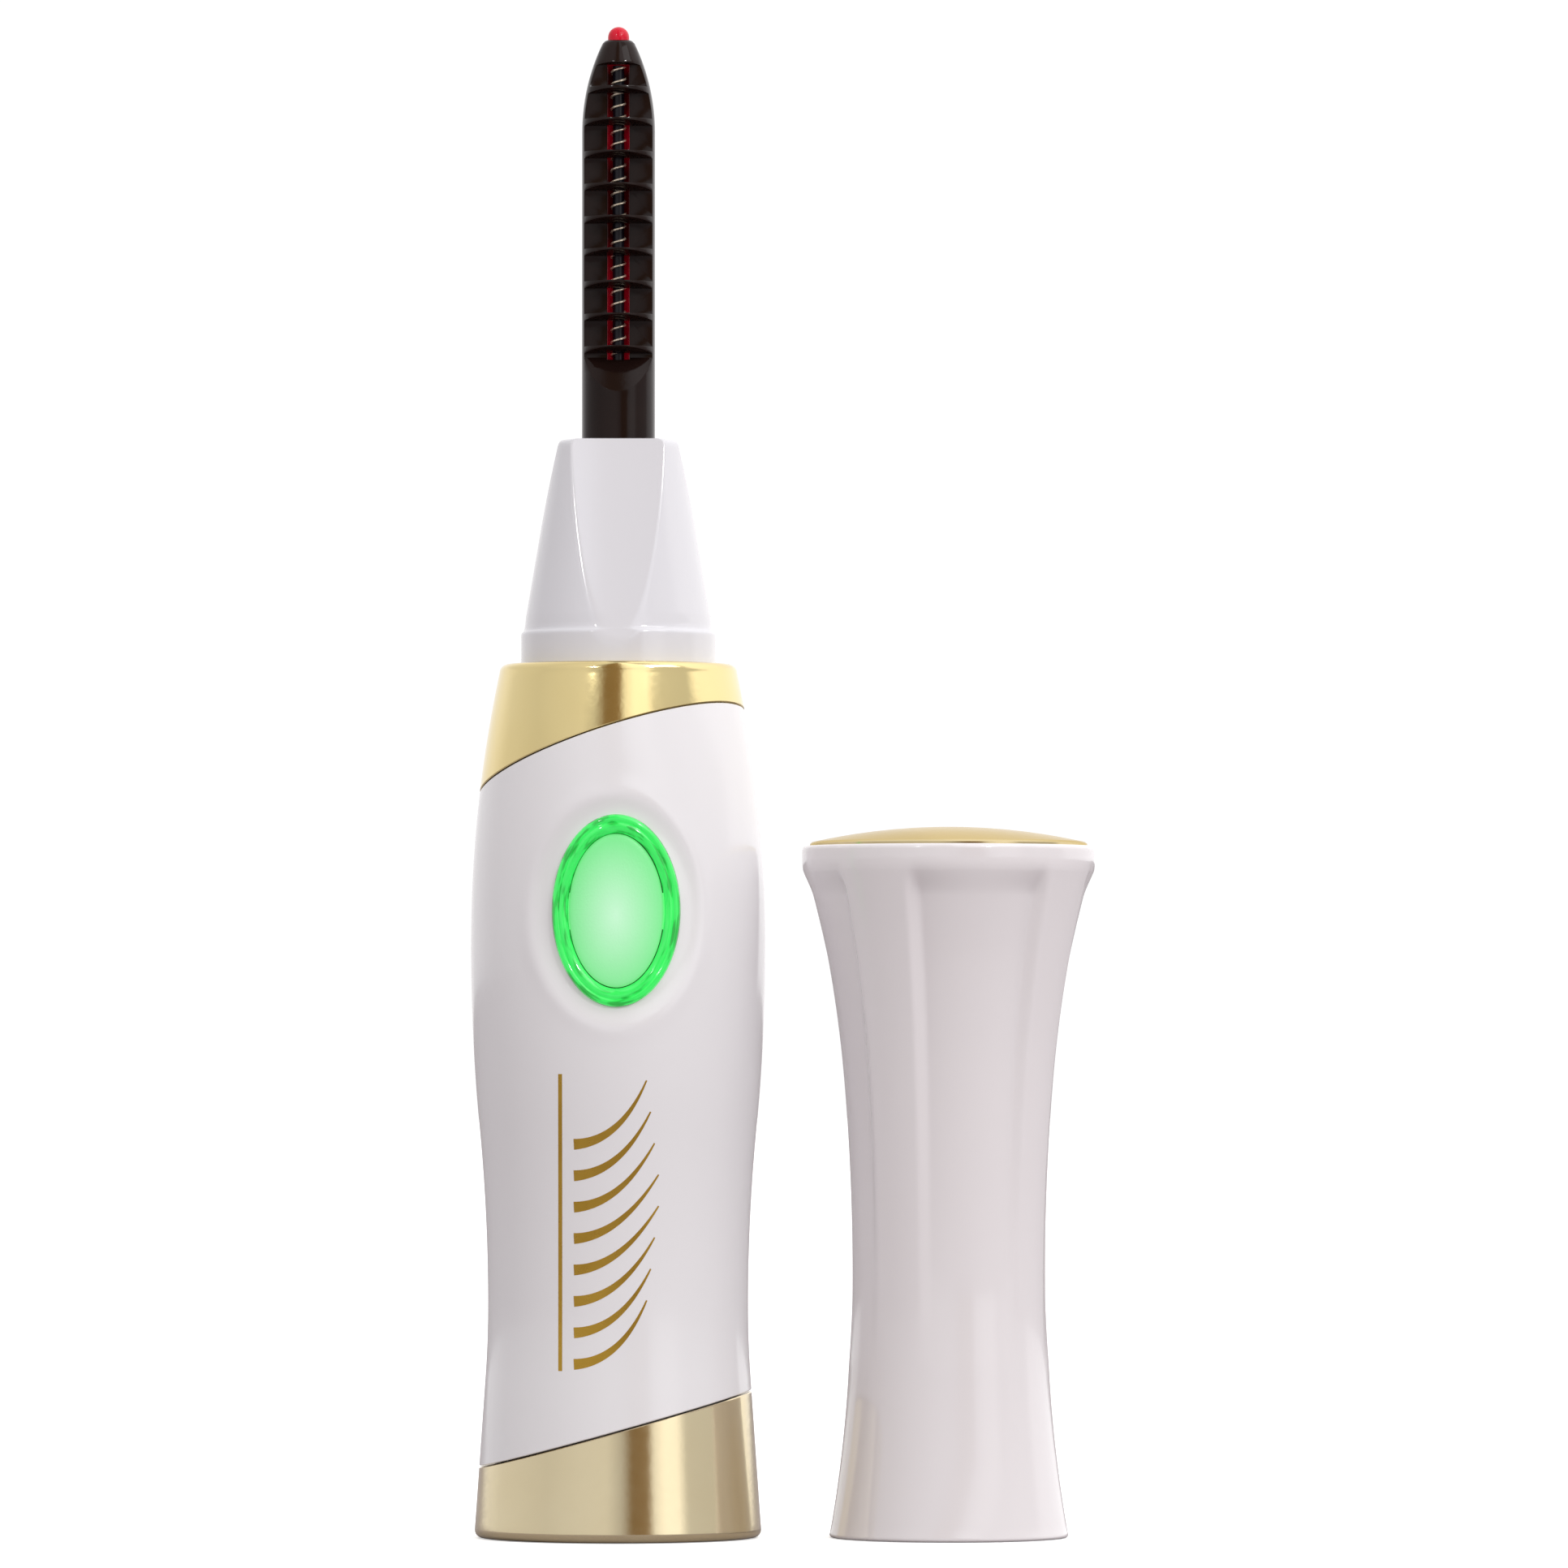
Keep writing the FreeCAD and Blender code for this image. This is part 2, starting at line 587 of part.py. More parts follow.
def flute_cutter():
    """One flute: the space outside its floor curve, as a sector about the cap's axis."""
    floor = [(cap_radius(z, FLUTE_DEPTH), z) for z in flare_heights()]
    outside = [(RIM_R + 1, CAP_SHOULDER[1] + 0.4), (RIM_R + 1, CAP_WAIST[1])]
    face = Part.Face(Part.Wire(straights(floor + outside + floor[:1])))
    face.rotate(ORIGIN, UP, -90 - FLUTE_SPREAD / 2)
    return face.revolve(ORIGIN, UP, FLUTE_SPREAD)


def cap_shell():
    """Flared white tube, open at both ends, with a proud rim and flutes that fade at the waist."""
    side = [(cap_radius(z, 0), z) for z in [0.0, CAP_WAIST[1] / 2] + flare_heights()]
    shell = turned(side + [(RIM_R, RIM_Z), (RIM_R - 0.35, CAP_RIM_TOP)])
    shell = shell.cut(turned([
        (CAP_MOUTH_BORE_R, -1), (CAP_MOUTH_BORE_R, 4.4), (CAP_BORE_R, 16.5), (CAP_BORE_R, CAP_NECK[1]),
        (CAP_THROAT_R, CAP_THROAT_Z), (CAP_THROAT_R, DOME_SEAT), (DOME_R + 0.12, DOME_SEAT),
        (DOME_R + 0.12, CAP_RIM_TOP + 1)]))
    cutter = flute_cutter()
    for flute in range(FLUTE_COUNT):
        tool = cutter.copy()
        tool.rotate(ORIGIN, UP, FIRST_FLUTE + 360.0 * flute / FLUTE_COUNT)
        shell = shell.cut(tool)
    return shell


def cap_liner():
    """Inner sleeve: its mouth grips the nozzle's lip, its closed tube covers the wand."""
    bore = [(radius - LINER_WALL, height) for radius, height in LINER_OUTLINE]
    bore[0] = (bore[0][0], bore[0][1] - 1)
    bore[-1] = (bore[-1][0], bore[-1][1] - LINER_TOP_THICK)
    return turned(LINER_OUTLINE).cut(turned(bore))


def cap_dome():
    """Gold crowned disc with a skirt that snaps into the top of the shell."""
    foot = DOME_SEAT + 0.02
    crown = [(DOME_R * share, DOME_TOP - (DOME_TOP - DOME_EDGE_Z) * share ** 2) for share in (1, 0.7, 0.35)]
    disc = turned([(DOME_R, foot)] + crown)
    skirt_r = CAP_THROAT_R - 0.05
    skirt = tube(skirt_r, skirt_r - 0.9, DOME_SEAT - 2.2, DOME_SEAT + 0.1)
    return joined([disc, skirt])


BASE_NODES = [base_cap, base_plug, negative_contact, battery_spring, battery]
HANDLE_NODES = [
    body_sleeve, collar_ring, nozzle, wand_holder, comb_housing, heat_indicator, heater_core,
    heater_coil, heater_leads, chassis, positive_contact, contact_strip, circuit_board,
    board_screws, board_components, indicator_leds, switch_base, switch_cover, light_ring,
    power_button, switch_plunger]
CAP_NODES = [cap_shell, cap_liner, cap_dome]

os.makedirs("parts", exist_ok=True)
for make in BASE_NODES + HANDLE_NODES + CAP_NODES:
    shape = make()
    if make in CAP_NODES:
        shape.translate(at(CAP_X, 0, 0))
    shape.exportStep("parts/" + make.__name__ + ".step")
    print(make.__name__, shape.isValid(), len(shape.Solids), round(shape.Volume, 2))
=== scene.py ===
import bpy
import math
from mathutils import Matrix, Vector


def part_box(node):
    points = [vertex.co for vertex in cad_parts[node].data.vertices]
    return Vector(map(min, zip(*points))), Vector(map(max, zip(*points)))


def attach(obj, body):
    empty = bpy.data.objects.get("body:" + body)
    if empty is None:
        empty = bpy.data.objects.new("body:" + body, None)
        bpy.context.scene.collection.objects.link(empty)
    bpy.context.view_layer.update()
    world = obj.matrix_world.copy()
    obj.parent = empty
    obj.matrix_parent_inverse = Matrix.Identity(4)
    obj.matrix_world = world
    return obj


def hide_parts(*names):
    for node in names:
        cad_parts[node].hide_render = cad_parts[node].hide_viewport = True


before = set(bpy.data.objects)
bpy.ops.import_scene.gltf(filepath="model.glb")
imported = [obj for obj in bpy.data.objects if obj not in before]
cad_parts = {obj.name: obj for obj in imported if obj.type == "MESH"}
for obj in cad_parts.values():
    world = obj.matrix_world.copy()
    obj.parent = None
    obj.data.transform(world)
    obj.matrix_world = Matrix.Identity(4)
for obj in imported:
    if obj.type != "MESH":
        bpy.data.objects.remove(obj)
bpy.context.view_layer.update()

# ---- gold base cup -------------------------------------------------------------------------------
# The foot that the curler stands on. It is a moulded cup, vacuum plated in pale gold, with a small
# rounded edge at the table and a slanted rim. The handle pulls straight up off it.
MM = 0.001
FOOT_R = 12.73
WAIST_R, WAIST_Z = 11.52, 20.5
BULGE_R, BULGE_Z = 13.07, 52.5
FLARE_TOP = 14.2
HANDLE_TOP = 77.3
SEAM_GAP, SEAM_BREAK = 0.14, 0.08
BASE_SEAM_Z, BASE_LEAN = 9.68, (0.279, 0.0)
CUP_BORE_R, CUP_FLOOR, FOOT_ROUND = 11.0, 1.6, 0.65
WAIST_SWEEP, SHOULDER_SWEEP = 90.0, 116.0
SKIN_REACH = 0.7


def swept(radius, height, sweep_r, z):
    """Radius at z of a side that is upright at a height; a negative sweep bulges outwards."""
    leave = abs(sweep_r) - math.sqrt(sweep_r ** 2 - (z - height) ** 2)
    return radius + math.copysign(leave, sweep_r)


def handle_radius(z):
    """The handle's outline: a straight flare, a waist, a bulge and a shoulder drawn in."""
    rise, spread = (BULGE_Z - WAIST_Z) / 2, (BULGE_R - WAIST_R) / 2
    middle_sweep = (rise ** 2 + spread ** 2) / (2 * spread)
    if z < FLARE_TOP:
        flare_top_r = swept(WAIST_R, WAIST_Z, WAIST_SWEEP, FLARE_TOP)
        return FOOT_R + (flare_top_r - FOOT_R) * z / FLARE_TOP
    if z < WAIST_Z:
        return swept(WAIST_R, WAIST_Z, WAIST_SWEEP, z)
    if z < WAIST_Z + rise:
        return swept(WAIST_R, WAIST_Z, middle_sweep, z)
    if z < BULGE_Z:
        return swept(BULGE_R, BULGE_Z, -middle_sweep, z)
    return swept(BULGE_R, BULGE_Z, -SHOULDER_SWEEP, z)


def between(low, high, pitch):
    """Evenly spaced heights from low to high, about a pitch apart."""
    count = max(1, round(abs(high - low) / pitch))
    return [low + (high - low) * step / count for step in range(count + 1)]


def round_corner(radius, height, size, first, last):
    """Points round a corner's centre, between two angles in degrees from straight out."""
    angles = [math.radians(first + (last - first) * step / 5) for step in range(6)]
    return [(radius + size * math.cos(angle), height + size * math.sin(angle)) for angle in angles]


def turned(name, outline, sides=240, filled=False):
    """A ring at the outline's first (radius, height), drawn out along the rest, ring by ring."""
    bpy.ops.object.select_all(action="DESELECT")
    bpy.ops.mesh.primitive_circle_add(vertices=sides, radius=outline[0][0], location=(0, 0, outline[0][1]),
                                      fill_type="NGON" if filled else "NOTHING")
    piece = bpy.context.object
    piece.name = piece.data.name = name
    bpy.ops.object.transform_apply(location=True)
    bpy.ops.object.mode_set(mode="EDIT")
    bpy.ops.mesh.select_all(action="SELECT")
    for (r0, z0), (r1, z1) in zip(outline, outline[1:]):
        bpy.ops.mesh.extrude_region_move(TRANSFORM_OT_translate={"value": (0, 0, z1 - z0)})
        bpy.ops.transform.resize(value=(r1 / r0, r1 / r0, 1), center_override=(0, 0, z1))
    bpy.ops.mesh.select_all(action="SELECT")
    bpy.ops.mesh.remove_doubles(threshold=0.0008)
    bpy.ops.mesh.normals_make_consistent(inside=False)
    bpy.ops.object.mode_set(mode="OBJECT")
    return piece


def follow_seams(piece, low, low_lean, high, high_lean, inside):
    """Leans the rings between two heights onto the slanted seams, with the skin on the handle's form."""
    for corner in piece.data.vertices:
        x, y, z = corner.co
        radius = math.hypot(x, y)
        if radius < inside:
            continue
        share = min(max((z - low) / (high - low), 0.0), 1.0)
        on_skin = abs(radius - handle_radius(z)) < SKIN_REACH
        depth = handle_radius(z) - radius
        rise_x = (1 - share) * low_lean[0] + share * high_lean[0]
        rise_y = (1 - share) * low_lean[1] + share * high_lean[1]
        for approach in range(3):
            leant = z + rise_x * corner.co.x + rise_y * corner.co.y
            if on_skin:
                fitted = handle_radius(leant) - depth
                corner.co.x, corner.co.y = x / radius * fitted, y / radius * fitted
        corner.co.z = leant


def clean_sides(piece):
    """Faces that point outwards, after the shape is done."""
    bpy.ops.object.select_all(action="DESELECT")
    piece.select_set(True)
    bpy.context.view_layer.objects.active = piece
    bpy.ops.object.mode_set(mode="EDIT")
    bpy.ops.mesh.select_all(action="SELECT")
    bpy.ops.mesh.normals_make_consistent(inside=False)
    bpy.ops.object.mode_set(mode="OBJECT")


def settle(piece, finish, body, stands_for=(), across=0.0, crease=35.0):
    """Brings a piece from millimetres to its place in metres, finished and fixed to its body."""
    bpy.ops.object.select_all(action="DESELECT")
    piece.select_set(True)
    bpy.context.view_layer.objects.active = piece
    piece.location = (across * MM, 0, 0)
    piece.scale = (MM, MM, MM)
    bpy.ops.object.transform_apply(location=True, rotation=True, scale=True)
    bpy.ops.object.shade_smooth_by_angle(angle=math.radians(crease))
    piece.data.materials.clear()
    piece.data.materials.append(finish)
    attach(piece, body)
    if stands_for:
        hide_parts(*stands_for)


def surface_group():
    """Slow changes of tone, patchy gloss and a fine orange peel, for anything moulded or plated."""
    group = bpy.data.node_groups.new("surface character", "ShaderNodeTree")
    for label in ("Colour", "Shade"):
        group.interface.new_socket(label, in_out="INPUT", socket_type="NodeSocketColor")
    for label in ("Patch", "Peel", "Gloss low", "Gloss high"):
        group.interface.new_socket(label, in_out="INPUT", socket_type="NodeSocketFloat")
    group.interface.new_socket("Colour", in_out="OUTPUT", socket_type="NodeSocketColor")
    for label in ("Roughness", "Height"):
        group.interface.new_socket(label, in_out="OUTPUT", socket_type="NodeSocketFloat")
    nodes, links = group.nodes, group.links
    inside, outside = nodes.new("NodeGroupInput"), nodes.new("NodeGroupOutput")
    place = nodes.new("ShaderNodeTexCoord")
    patches, peel = nodes.new("ShaderNodeTexNoise"), nodes.new("ShaderNodeTexNoise")
    patches.inputs["Detail"].default_value = 3.0
    peel.inputs["Detail"].default_value = 2.0
    tone, gloss = nodes.new("ShaderNodeMix"), nodes.new("ShaderNodeMapRange")
    tone.data_type = "RGBA"
    links.new(place.outputs["Object"], patches.inputs["Vector"])
    links.new(place.outputs["Object"], peel.inputs["Vector"])
    links.new(inside.outputs["Patch"], patches.inputs["Scale"])
    links.new(inside.outputs["Peel"], peel.inputs["Scale"])
    links.new(patches.outputs["Fac"], tone.inputs[0])
    links.new(inside.outputs["Colour"], tone.inputs[6])
    links.new(inside.outputs["Shade"], tone.inputs[7])
    links.new(peel.outputs["Fac"], gloss.inputs["Value"])
    links.new(inside.outputs["Gloss low"], gloss.inputs["To Min"])
    links.new(inside.outputs["Gloss high"], gloss.inputs["To Max"])
    links.new(tone.outputs[2], outside.inputs["Colour"])
    links.new(gloss.outputs["Result"], outside.inputs["Roughness"])
    links.new(peel.outputs["Fac"], outside.inputs["Height"])
    return group


surface = surface_group()


def surfaced(name, colour, shade, gloss, patch=90.0, peel=1400.0, relief=0.02, **sockets):
    """A finish whose tone, gloss and relief vary; other sockets of the shader are set as named."""
    finish = bpy.data.materials.new(name)
    finish.use_nodes = True
    nodes, links = finish.node_tree.nodes, finish.node_tree.links
    shader = nodes["Principled BSDF"]
    skin = nodes.new("ShaderNodeGroup")
    skin.node_tree = surface
    look = {"Colour": (*colour, 1), "Shade": (*shade, 1), "Patch": patch, "Peel": peel,
            "Gloss low": gloss[0], "Gloss high": gloss[1]}
    for label, value in look.items():
        skin.inputs[label].default_value = value
    bump = nodes.new("ShaderNodeBump")
    bump.inputs["Strength"].default_value = relief
    bump.inputs["Distance"].default_value = 0.0002
    links.new(skin.outputs["Colour"], shader.inputs["Base Color"])
    links.new(skin.outputs["Roughness"], shader.inputs["Roughness"])
    links.new(skin.outputs["Height"], bump.inputs["Height"])
    links.new(bump.outputs["Normal"], shader.inputs["Normal"])
    for label, value in sockets.items():
        shader.inputs[label.replace("_", " ")].default_value = value
    return finish


pale_gold = surfaced("pale gold plating", (0.80, 0.70, 0.47), (0.74, 0.63, 0.40), (0.10, 0.16), patch=140.0,
                     relief=0.02, Metallic=1.0)
base_top = BASE_SEAM_Z - SEAM_GAP / 2
foot_flat_r = FOOT_R - FOOT_ROUND - 0.05
base_outline = ([(foot_flat_r - 0.05, 0.0)] + round_corner(foot_flat_r, FOOT_ROUND, FOOT_ROUND, -90, 0)
                + [(handle_radius(z), z) for z in between(0.8, base_top - SEAM_BREAK, 0.5)]
                + [(handle_radius(base_top) - SEAM_BREAK, base_top), (CUP_BORE_R, base_top)]
                + [(CUP_BORE_R, z) for z in between(base_top, CUP_FLOOR, 1.6)[1:]])
base_piece = turned("gold_base_cup", base_outline, filled=True)
follow_seams(base_piece, CUP_FLOOR, (0, 0), base_top, BASE_LEAN, CUP_BORE_R - 0.1)
settle(base_piece, pale_gold, "base", ["base_cap"])

# ---- white handle sleeve -------------------------------------------------------------------------
# The waisted shell that the hand holds, injection moulded in glossy white. It slides over the inner
# frame, ends on two slanted seams and is dished in a soft oval round the light ring.
COLLAR_SEAM_Z, COLLAR_LEAN = 69.75, (0.315, -0.183)
BUTTON_Z = 55.3
DISH_HALF, DISH_DEPTH, DISH_BROW = (7.9, 10.5), 0.38, 0.06
RING_HALF, WINDOW_GAP = (5.6, 8.4), 0.03
SLEEVE_BORE_R = 9.90

sleeve_low, sleeve_high = BASE_SEAM_Z + SEAM_GAP / 2, COLLAR_SEAM_Z - SEAM_GAP / 2
sleeve_outline = ([(SLEEVE_BORE_R, sleeve_low), (handle_radius(sleeve_low) - SEAM_BREAK, sleeve_low)]
                  + [(handle_radius(z), z)
                     for z in between(sleeve_low + SEAM_BREAK, sleeve_high - SEAM_BREAK, 0.5)]
                  + [(handle_radius(sleeve_high) - SEAM_BREAK, sleeve_high), (SLEEVE_BORE_R, sleeve_high)]
                  + [(SLEEVE_BORE_R, z) for z in between(sleeve_high, sleeve_low, 6.0)[1:]])
sleeve_piece = turned("white_sleeve", sleeve_outline)
follow_seams(sleeve_piece, sleeve_low, BASE_LEAN, sleeve_high, COLLAR_LEAN, 1.0)


def eased(value):
    """0 below 0, 1 above 1 and a soft S between."""
    value = min(max(value, 0.0), 1.0)
    return value * value * (3 - 2 * value)


for corner in sleeve_piece.data.vertices:
    x, y, z = corner.co
    radius = math.hypot(x, y)
    reach = math.hypot(x / DISH_HALF[0], (z - BUTTON_Z) / DISH_HALF[1])
    if y < 0 and radius > 11.0 and reach < 1.15:
        brow = DISH_BROW * eased((1.15 - reach) / 0.15) * eased((reach - 0.85) / 0.15)
        sink = DISH_DEPTH * (1 - eased((reach - 0.80) / 0.20)) - brow
        corner.co.x, corner.co.y = x / radius * (radius - sink), y / radius * (radius - sink)


def oval_cutter(name, half_wide, half_high, near, far):
    """An oval bar along Y at the button, to cut with."""
    bpy.ops.object.select_all(action="DESELECT")
    bpy.ops.mesh.primitive_cylinder_add(vertices=160, radius=1, depth=abs(far - near),
                                        location=(0, (near + far) / 2, BUTTON_Z),
                                        rotation=(math.pi / 2, 0, 0))
    cutter = bpy.context.object
    cutter.name = name
    cutter.scale = (half_wide, half_high, 1)
    bpy.ops.object.transform_apply(location=True, rotation=True, scale=True)
    return cutter


def cut_away(piece, cutter):
    """Takes the cutter's space out of the piece, and removes the cutter."""
    bpy.ops.object.select_all(action="DESELECT")
    piece.select_set(True)
    bpy.context.view_layer.objects.active = piece
    cut = piece.modifiers.new("cut", "BOOLEAN")
    cut.operation = "DIFFERENCE"
    cut.solver = "EXACT"
    cut.object = cutter
    bpy.ops.object.modifier_apply(modifier=cut.name)
    bpy.data.objects.remove(cutter)


cut_away(sleeve_piece, oval_cutter("window_cutter", RING_HALF[0] + WINDOW_GAP, RING_HALF[1] + WINDOW_GAP,
                                   -20, -3))
gloss_white = surfaced("white gloss moulding", (0.80, 0.79, 0.808), (0.775, 0.765, 0.783), (0.10, 0.15),
                       patch=60.0, relief=0.012, Coat_Weight=0.25, Coat_Roughness=0.04)
settle(sleeve_piece, gloss_white, "handle", ["body_sleeve"], crease=30.0)

# ---- foil ornament on the sleeve -----------------------------------------------------------------
# Hot-stamped gold foil, a slim upright line with a fan of tapering curved strokes beside it, a plain
# lash motif. It is pressed onto the white shell after moulding and stands a hair proud of it.
FOIL_PROUD, FOIL_THICK = 0.012, 0.02
LINE_X, LINE_LOW, LINE_HIGH, LINE_WIDE = -4.9, 15.0, 41.0, 0.34
LASH_COUNT, LASH_PITCH, LASH_X, LASH_LOW = 8, 2.75, -3.7, 15.6
LASH_REACH, LASH_RISE, LASH_WIDE, LASH_TAPER, FAN_SHARE = 7.6, 5.6, 0.95, 0.86, 0.16
foil_gold = surfaced("stamped gold foil", (0.62, 0.40, 0.07), (0.42, 0.24, 0.03), (0.22, 0.36), patch=260.0,
                     relief=0.05, Metallic=1.0)


def foil_stroke(points, width, taper):
    """One stroke of foil laid on the sleeve along a quadratic path of three (x, z) points."""
    bpy.ops.object.select_all(action="DESELECT")
    bpy.ops.mesh.primitive_grid_add(x_subdivisions=28, y_subdivisions=2, size=2)
    stroke = bpy.context.object
    (ax, az), (bx, bz), (cx, cz) = points
    for corner in stroke.data.vertices:
        along, side = (corner.co.x + 1) / 2, corner.co.y
        keep = (1 - along) ** 2, 2 * along * (1 - along), along ** 2
        x = keep[0] * ax + keep[1] * bx + keep[2] * cx
        z = keep[0] * az + keep[1] * bz + keep[2] * cz
        run_x = 2 * (1 - along) * (bx - ax) + 2 * along * (cx - bx)
        run_z = 2 * (1 - along) * (bz - az) + 2 * along * (cz - bz)
        length = math.hypot(run_x, run_z)
        half = width / 2 * (1 - taper * along) * side
        x, z = x - run_z / length * half, z + run_x / length * half
        skin = handle_radius(z) + FOIL_PROUD
        corner.co = (x, -math.sqrt(skin ** 2 - x ** 2), z)
    return stroke


line_path = [(LINE_X, LINE_LOW), (LINE_X, (LINE_LOW + LINE_HIGH) / 2), (LINE_X, LINE_HIGH)]
strokes = [foil_stroke(line_path, LINE_WIDE, 0.0)]
middle_lash = (LASH_COUNT - 1) / 2
for lash in range(LASH_COUNT):
    foot_z = LASH_LOW + LASH_PITCH * lash
    reach = LASH_REACH * (1.0 - FAN_SHARE * abs(lash - middle_lash) / middle_lash)
    lash_path = [(LASH_X, foot_z), (0.4, foot_z + 0.2), (LASH_X + reach, foot_z + LASH_RISE)]
    strokes.append(foil_stroke(lash_path, LASH_WIDE, LASH_TAPER))
bpy.ops.object.select_all(action="DESELECT")
for stroke in strokes:
    stroke.select_set(True)
bpy.context.view_layer.objects.active = strokes[0]
bpy.ops.object.join()
ornament = bpy.context.object
ornament.name = ornament.data.name = "foil_ornament"
clean_sides(ornament)
foil_film = ornament.modifiers.new("film", "SOLIDIFY")
foil_film.thickness = FOIL_THICK
foil_film.offset = -1.0
bpy.ops.object.modifier_apply(modifier=foil_film.name)
settle(ornament, foil_gold, "handle")

# ---- gold collar ---------------------------------------------------------------------------------
# The plated ring above the sleeve. It is moulded with the shoulder that holds the nozzle and with the
# spigot that the sleeve slides over, and its skirt follows the slanted seam.
COLLAR_EDGE, COLLAR_MOUTH_R, SHOULDER_LOW = 0.75, 8.03, 76.1
SPIGOT_R, SPIGOT_BORE_R, SPIGOT_LOW = 9.85, 9.30, 64.2

collar_low = COLLAR_SEAM_Z + SEAM_GAP / 2
edge_z = HANDLE_TOP - COLLAR_EDGE
collar_outline = ([(COLLAR_MOUTH_R, HANDLE_TOP), (handle_radius(HANDLE_TOP) - COLLAR_EDGE, HANDLE_TOP)]
                  + round_corner(handle_radius(edge_z) - COLLAR_EDGE, edge_z, COLLAR_EDGE, 90, 8)[1:]
                  + [(handle_radius(z), z) for z in between(edge_z, collar_low + SEAM_BREAK, 0.5)]
                  + [(handle_radius(collar_low) - SEAM_BREAK, collar_low), (SPIGOT_R, collar_low),
                     (SPIGOT_R, SPIGOT_LOW), (SPIGOT_BORE_R, SPIGOT_LOW), (SPIGOT_BORE_R, SHOULDER_LOW),
                     (COLLAR_MOUTH_R, SHOULDER_LOW), (COLLAR_MOUTH_R, HANDLE_TOP)])
collar_piece = turned("gold_collar", collar_outline)
for corner in collar_piece.data.vertices:
    if math.hypot(corner.co.x, corner.co.y) < SPIGOT_R + 0.02 and abs(corner.co.z - collar_low) < 0.01:
        corner.co.z = collar_low + COLLAR_LEAN[0] * corner.co.x + COLLAR_LEAN[1] * corner.co.y
follow_seams(collar_piece, edge_z - 0.1, (0, 0), collar_low, COLLAR_LEAN, SPIGOT_R + 0.05)
deep_gold = surfaced("collar gold plating", (0.82, 0.685, 0.35), (0.77, 0.62, 0.29), (0.08, 0.14),
                     patch=140.0, relief=0.03, Metallic=1.0)
settle(collar_piece, deep_gold, "handle", ["collar_ring"])

# ---- white nozzle --------------------------------------------------------------------------------
# The cone that carries the wand, moulded with a rounded lip at its foot. Three shallow petal-shaped
# scallops run up it, and the cap's inner sleeve grips the lip.
NOZZLE_FOOT, STEM_R, STEM_BORE_R = 68.0, 8.0, 6.9
LIP_R, LIP_TOP, LIP_ROUND = 8.64, 80.4, 0.42
CONE_FOOT, CONE_FOOT_R = 81.5, 8.22
SCALLOP_FOOT_Z, SCALLOP_SLOPE, SCALLOP_DRUM_R, SCALLOP_SOFT = 79.0, 0.284, 45.0, 0.16
NOZZLE_TOP, NOZZLE_TOP_R, NOZZLE_EDGE, MOUTH_R = 97.2, 5.55, 0.62, 3.30


def cone_radius(z):
    """The nozzle's straight taper above its lip."""
    return CONE_FOOT_R + (NOZZLE_TOP_R - CONE_FOOT_R) * (z - CONE_FOOT) / (NOZZLE_TOP - CONE_FOOT)


lip_shoulder = LIP_TOP - 0.55
cone_edge_z = NOZZLE_TOP - NOZZLE_EDGE
nozzle_outline = ([(STEM_BORE_R, NOZZLE_FOOT), (STEM_R, NOZZLE_FOOT), (STEM_R, HANDLE_TOP),
                   (LIP_R, HANDLE_TOP)]
                  + [(LIP_R, z) for z in between(78.2, lip_shoulder, 0.25)]
                  + round_corner(LIP_R - LIP_ROUND, lip_shoulder, LIP_ROUND, 0, 62)[1:]
                  + [(8.34, 80.45), (8.285, 80.85), (CONE_FOOT_R, CONE_FOOT)]
                  + [(cone_radius(z), z) for z in between(CONE_FOOT, cone_edge_z, 0.25)[1:]]
                  + round_corner(NOZZLE_TOP_R + 0.08 - NOZZLE_EDGE, cone_edge_z, NOZZLE_EDGE, 8, 90)[1:]
                  + [(MOUTH_R, NOZZLE_TOP), (MOUTH_R, 95.0), (STEM_BORE_R, 82.3), (STEM_BORE_R, NOZZLE_FOOT)])
nozzle_piece = turned("white_nozzle", nozzle_outline, sides=480)
for corner in nozzle_piece.data.vertices:
    x, y, z = corner.co
    radius = math.hypot(x, y)
    in_bore = radius < MOUTH_R + 0.2 or (radius < STEM_BORE_R + 0.01 and z < 84.5)
    if z < HANDLE_TOP + 0.2 or in_bore:
        continue
    turn = round(math.atan2(x, -y) / math.radians(120)) * math.radians(120)
    sideways = x * math.cos(turn) + y * math.sin(turn)
    outward = x * math.sin(turn) - y * math.cos(turn)
    scallop = LIP_R - SCALLOP_SLOPE * (z - SCALLOP_FOOT_Z) + sideways ** 2 / (2 * SCALLOP_DRUM_R)
    mix = min(max(0.5 + 0.5 * (scallop - outward) / SCALLOP_SOFT, 0.0), 1.0)
    sunk = scallop + (outward - scallop) * mix - SCALLOP_SOFT * mix * (1 - mix)
    corner.co.x = sideways * math.cos(turn) + sunk * math.sin(turn)
    corner.co.y = sideways * math.sin(turn) - sunk * math.cos(turn)
clear_white = surfaced("white nozzle moulding", (0.70, 0.70, 0.735), (0.68, 0.677, 0.715), (0.06, 0.11),
                       patch=60.0, relief=0.010, Coat_Weight=0.35, Coat_Roughness=0.03)
settle(nozzle_piece, clear_white, "handle", ["nozzle"], crease=50.0)

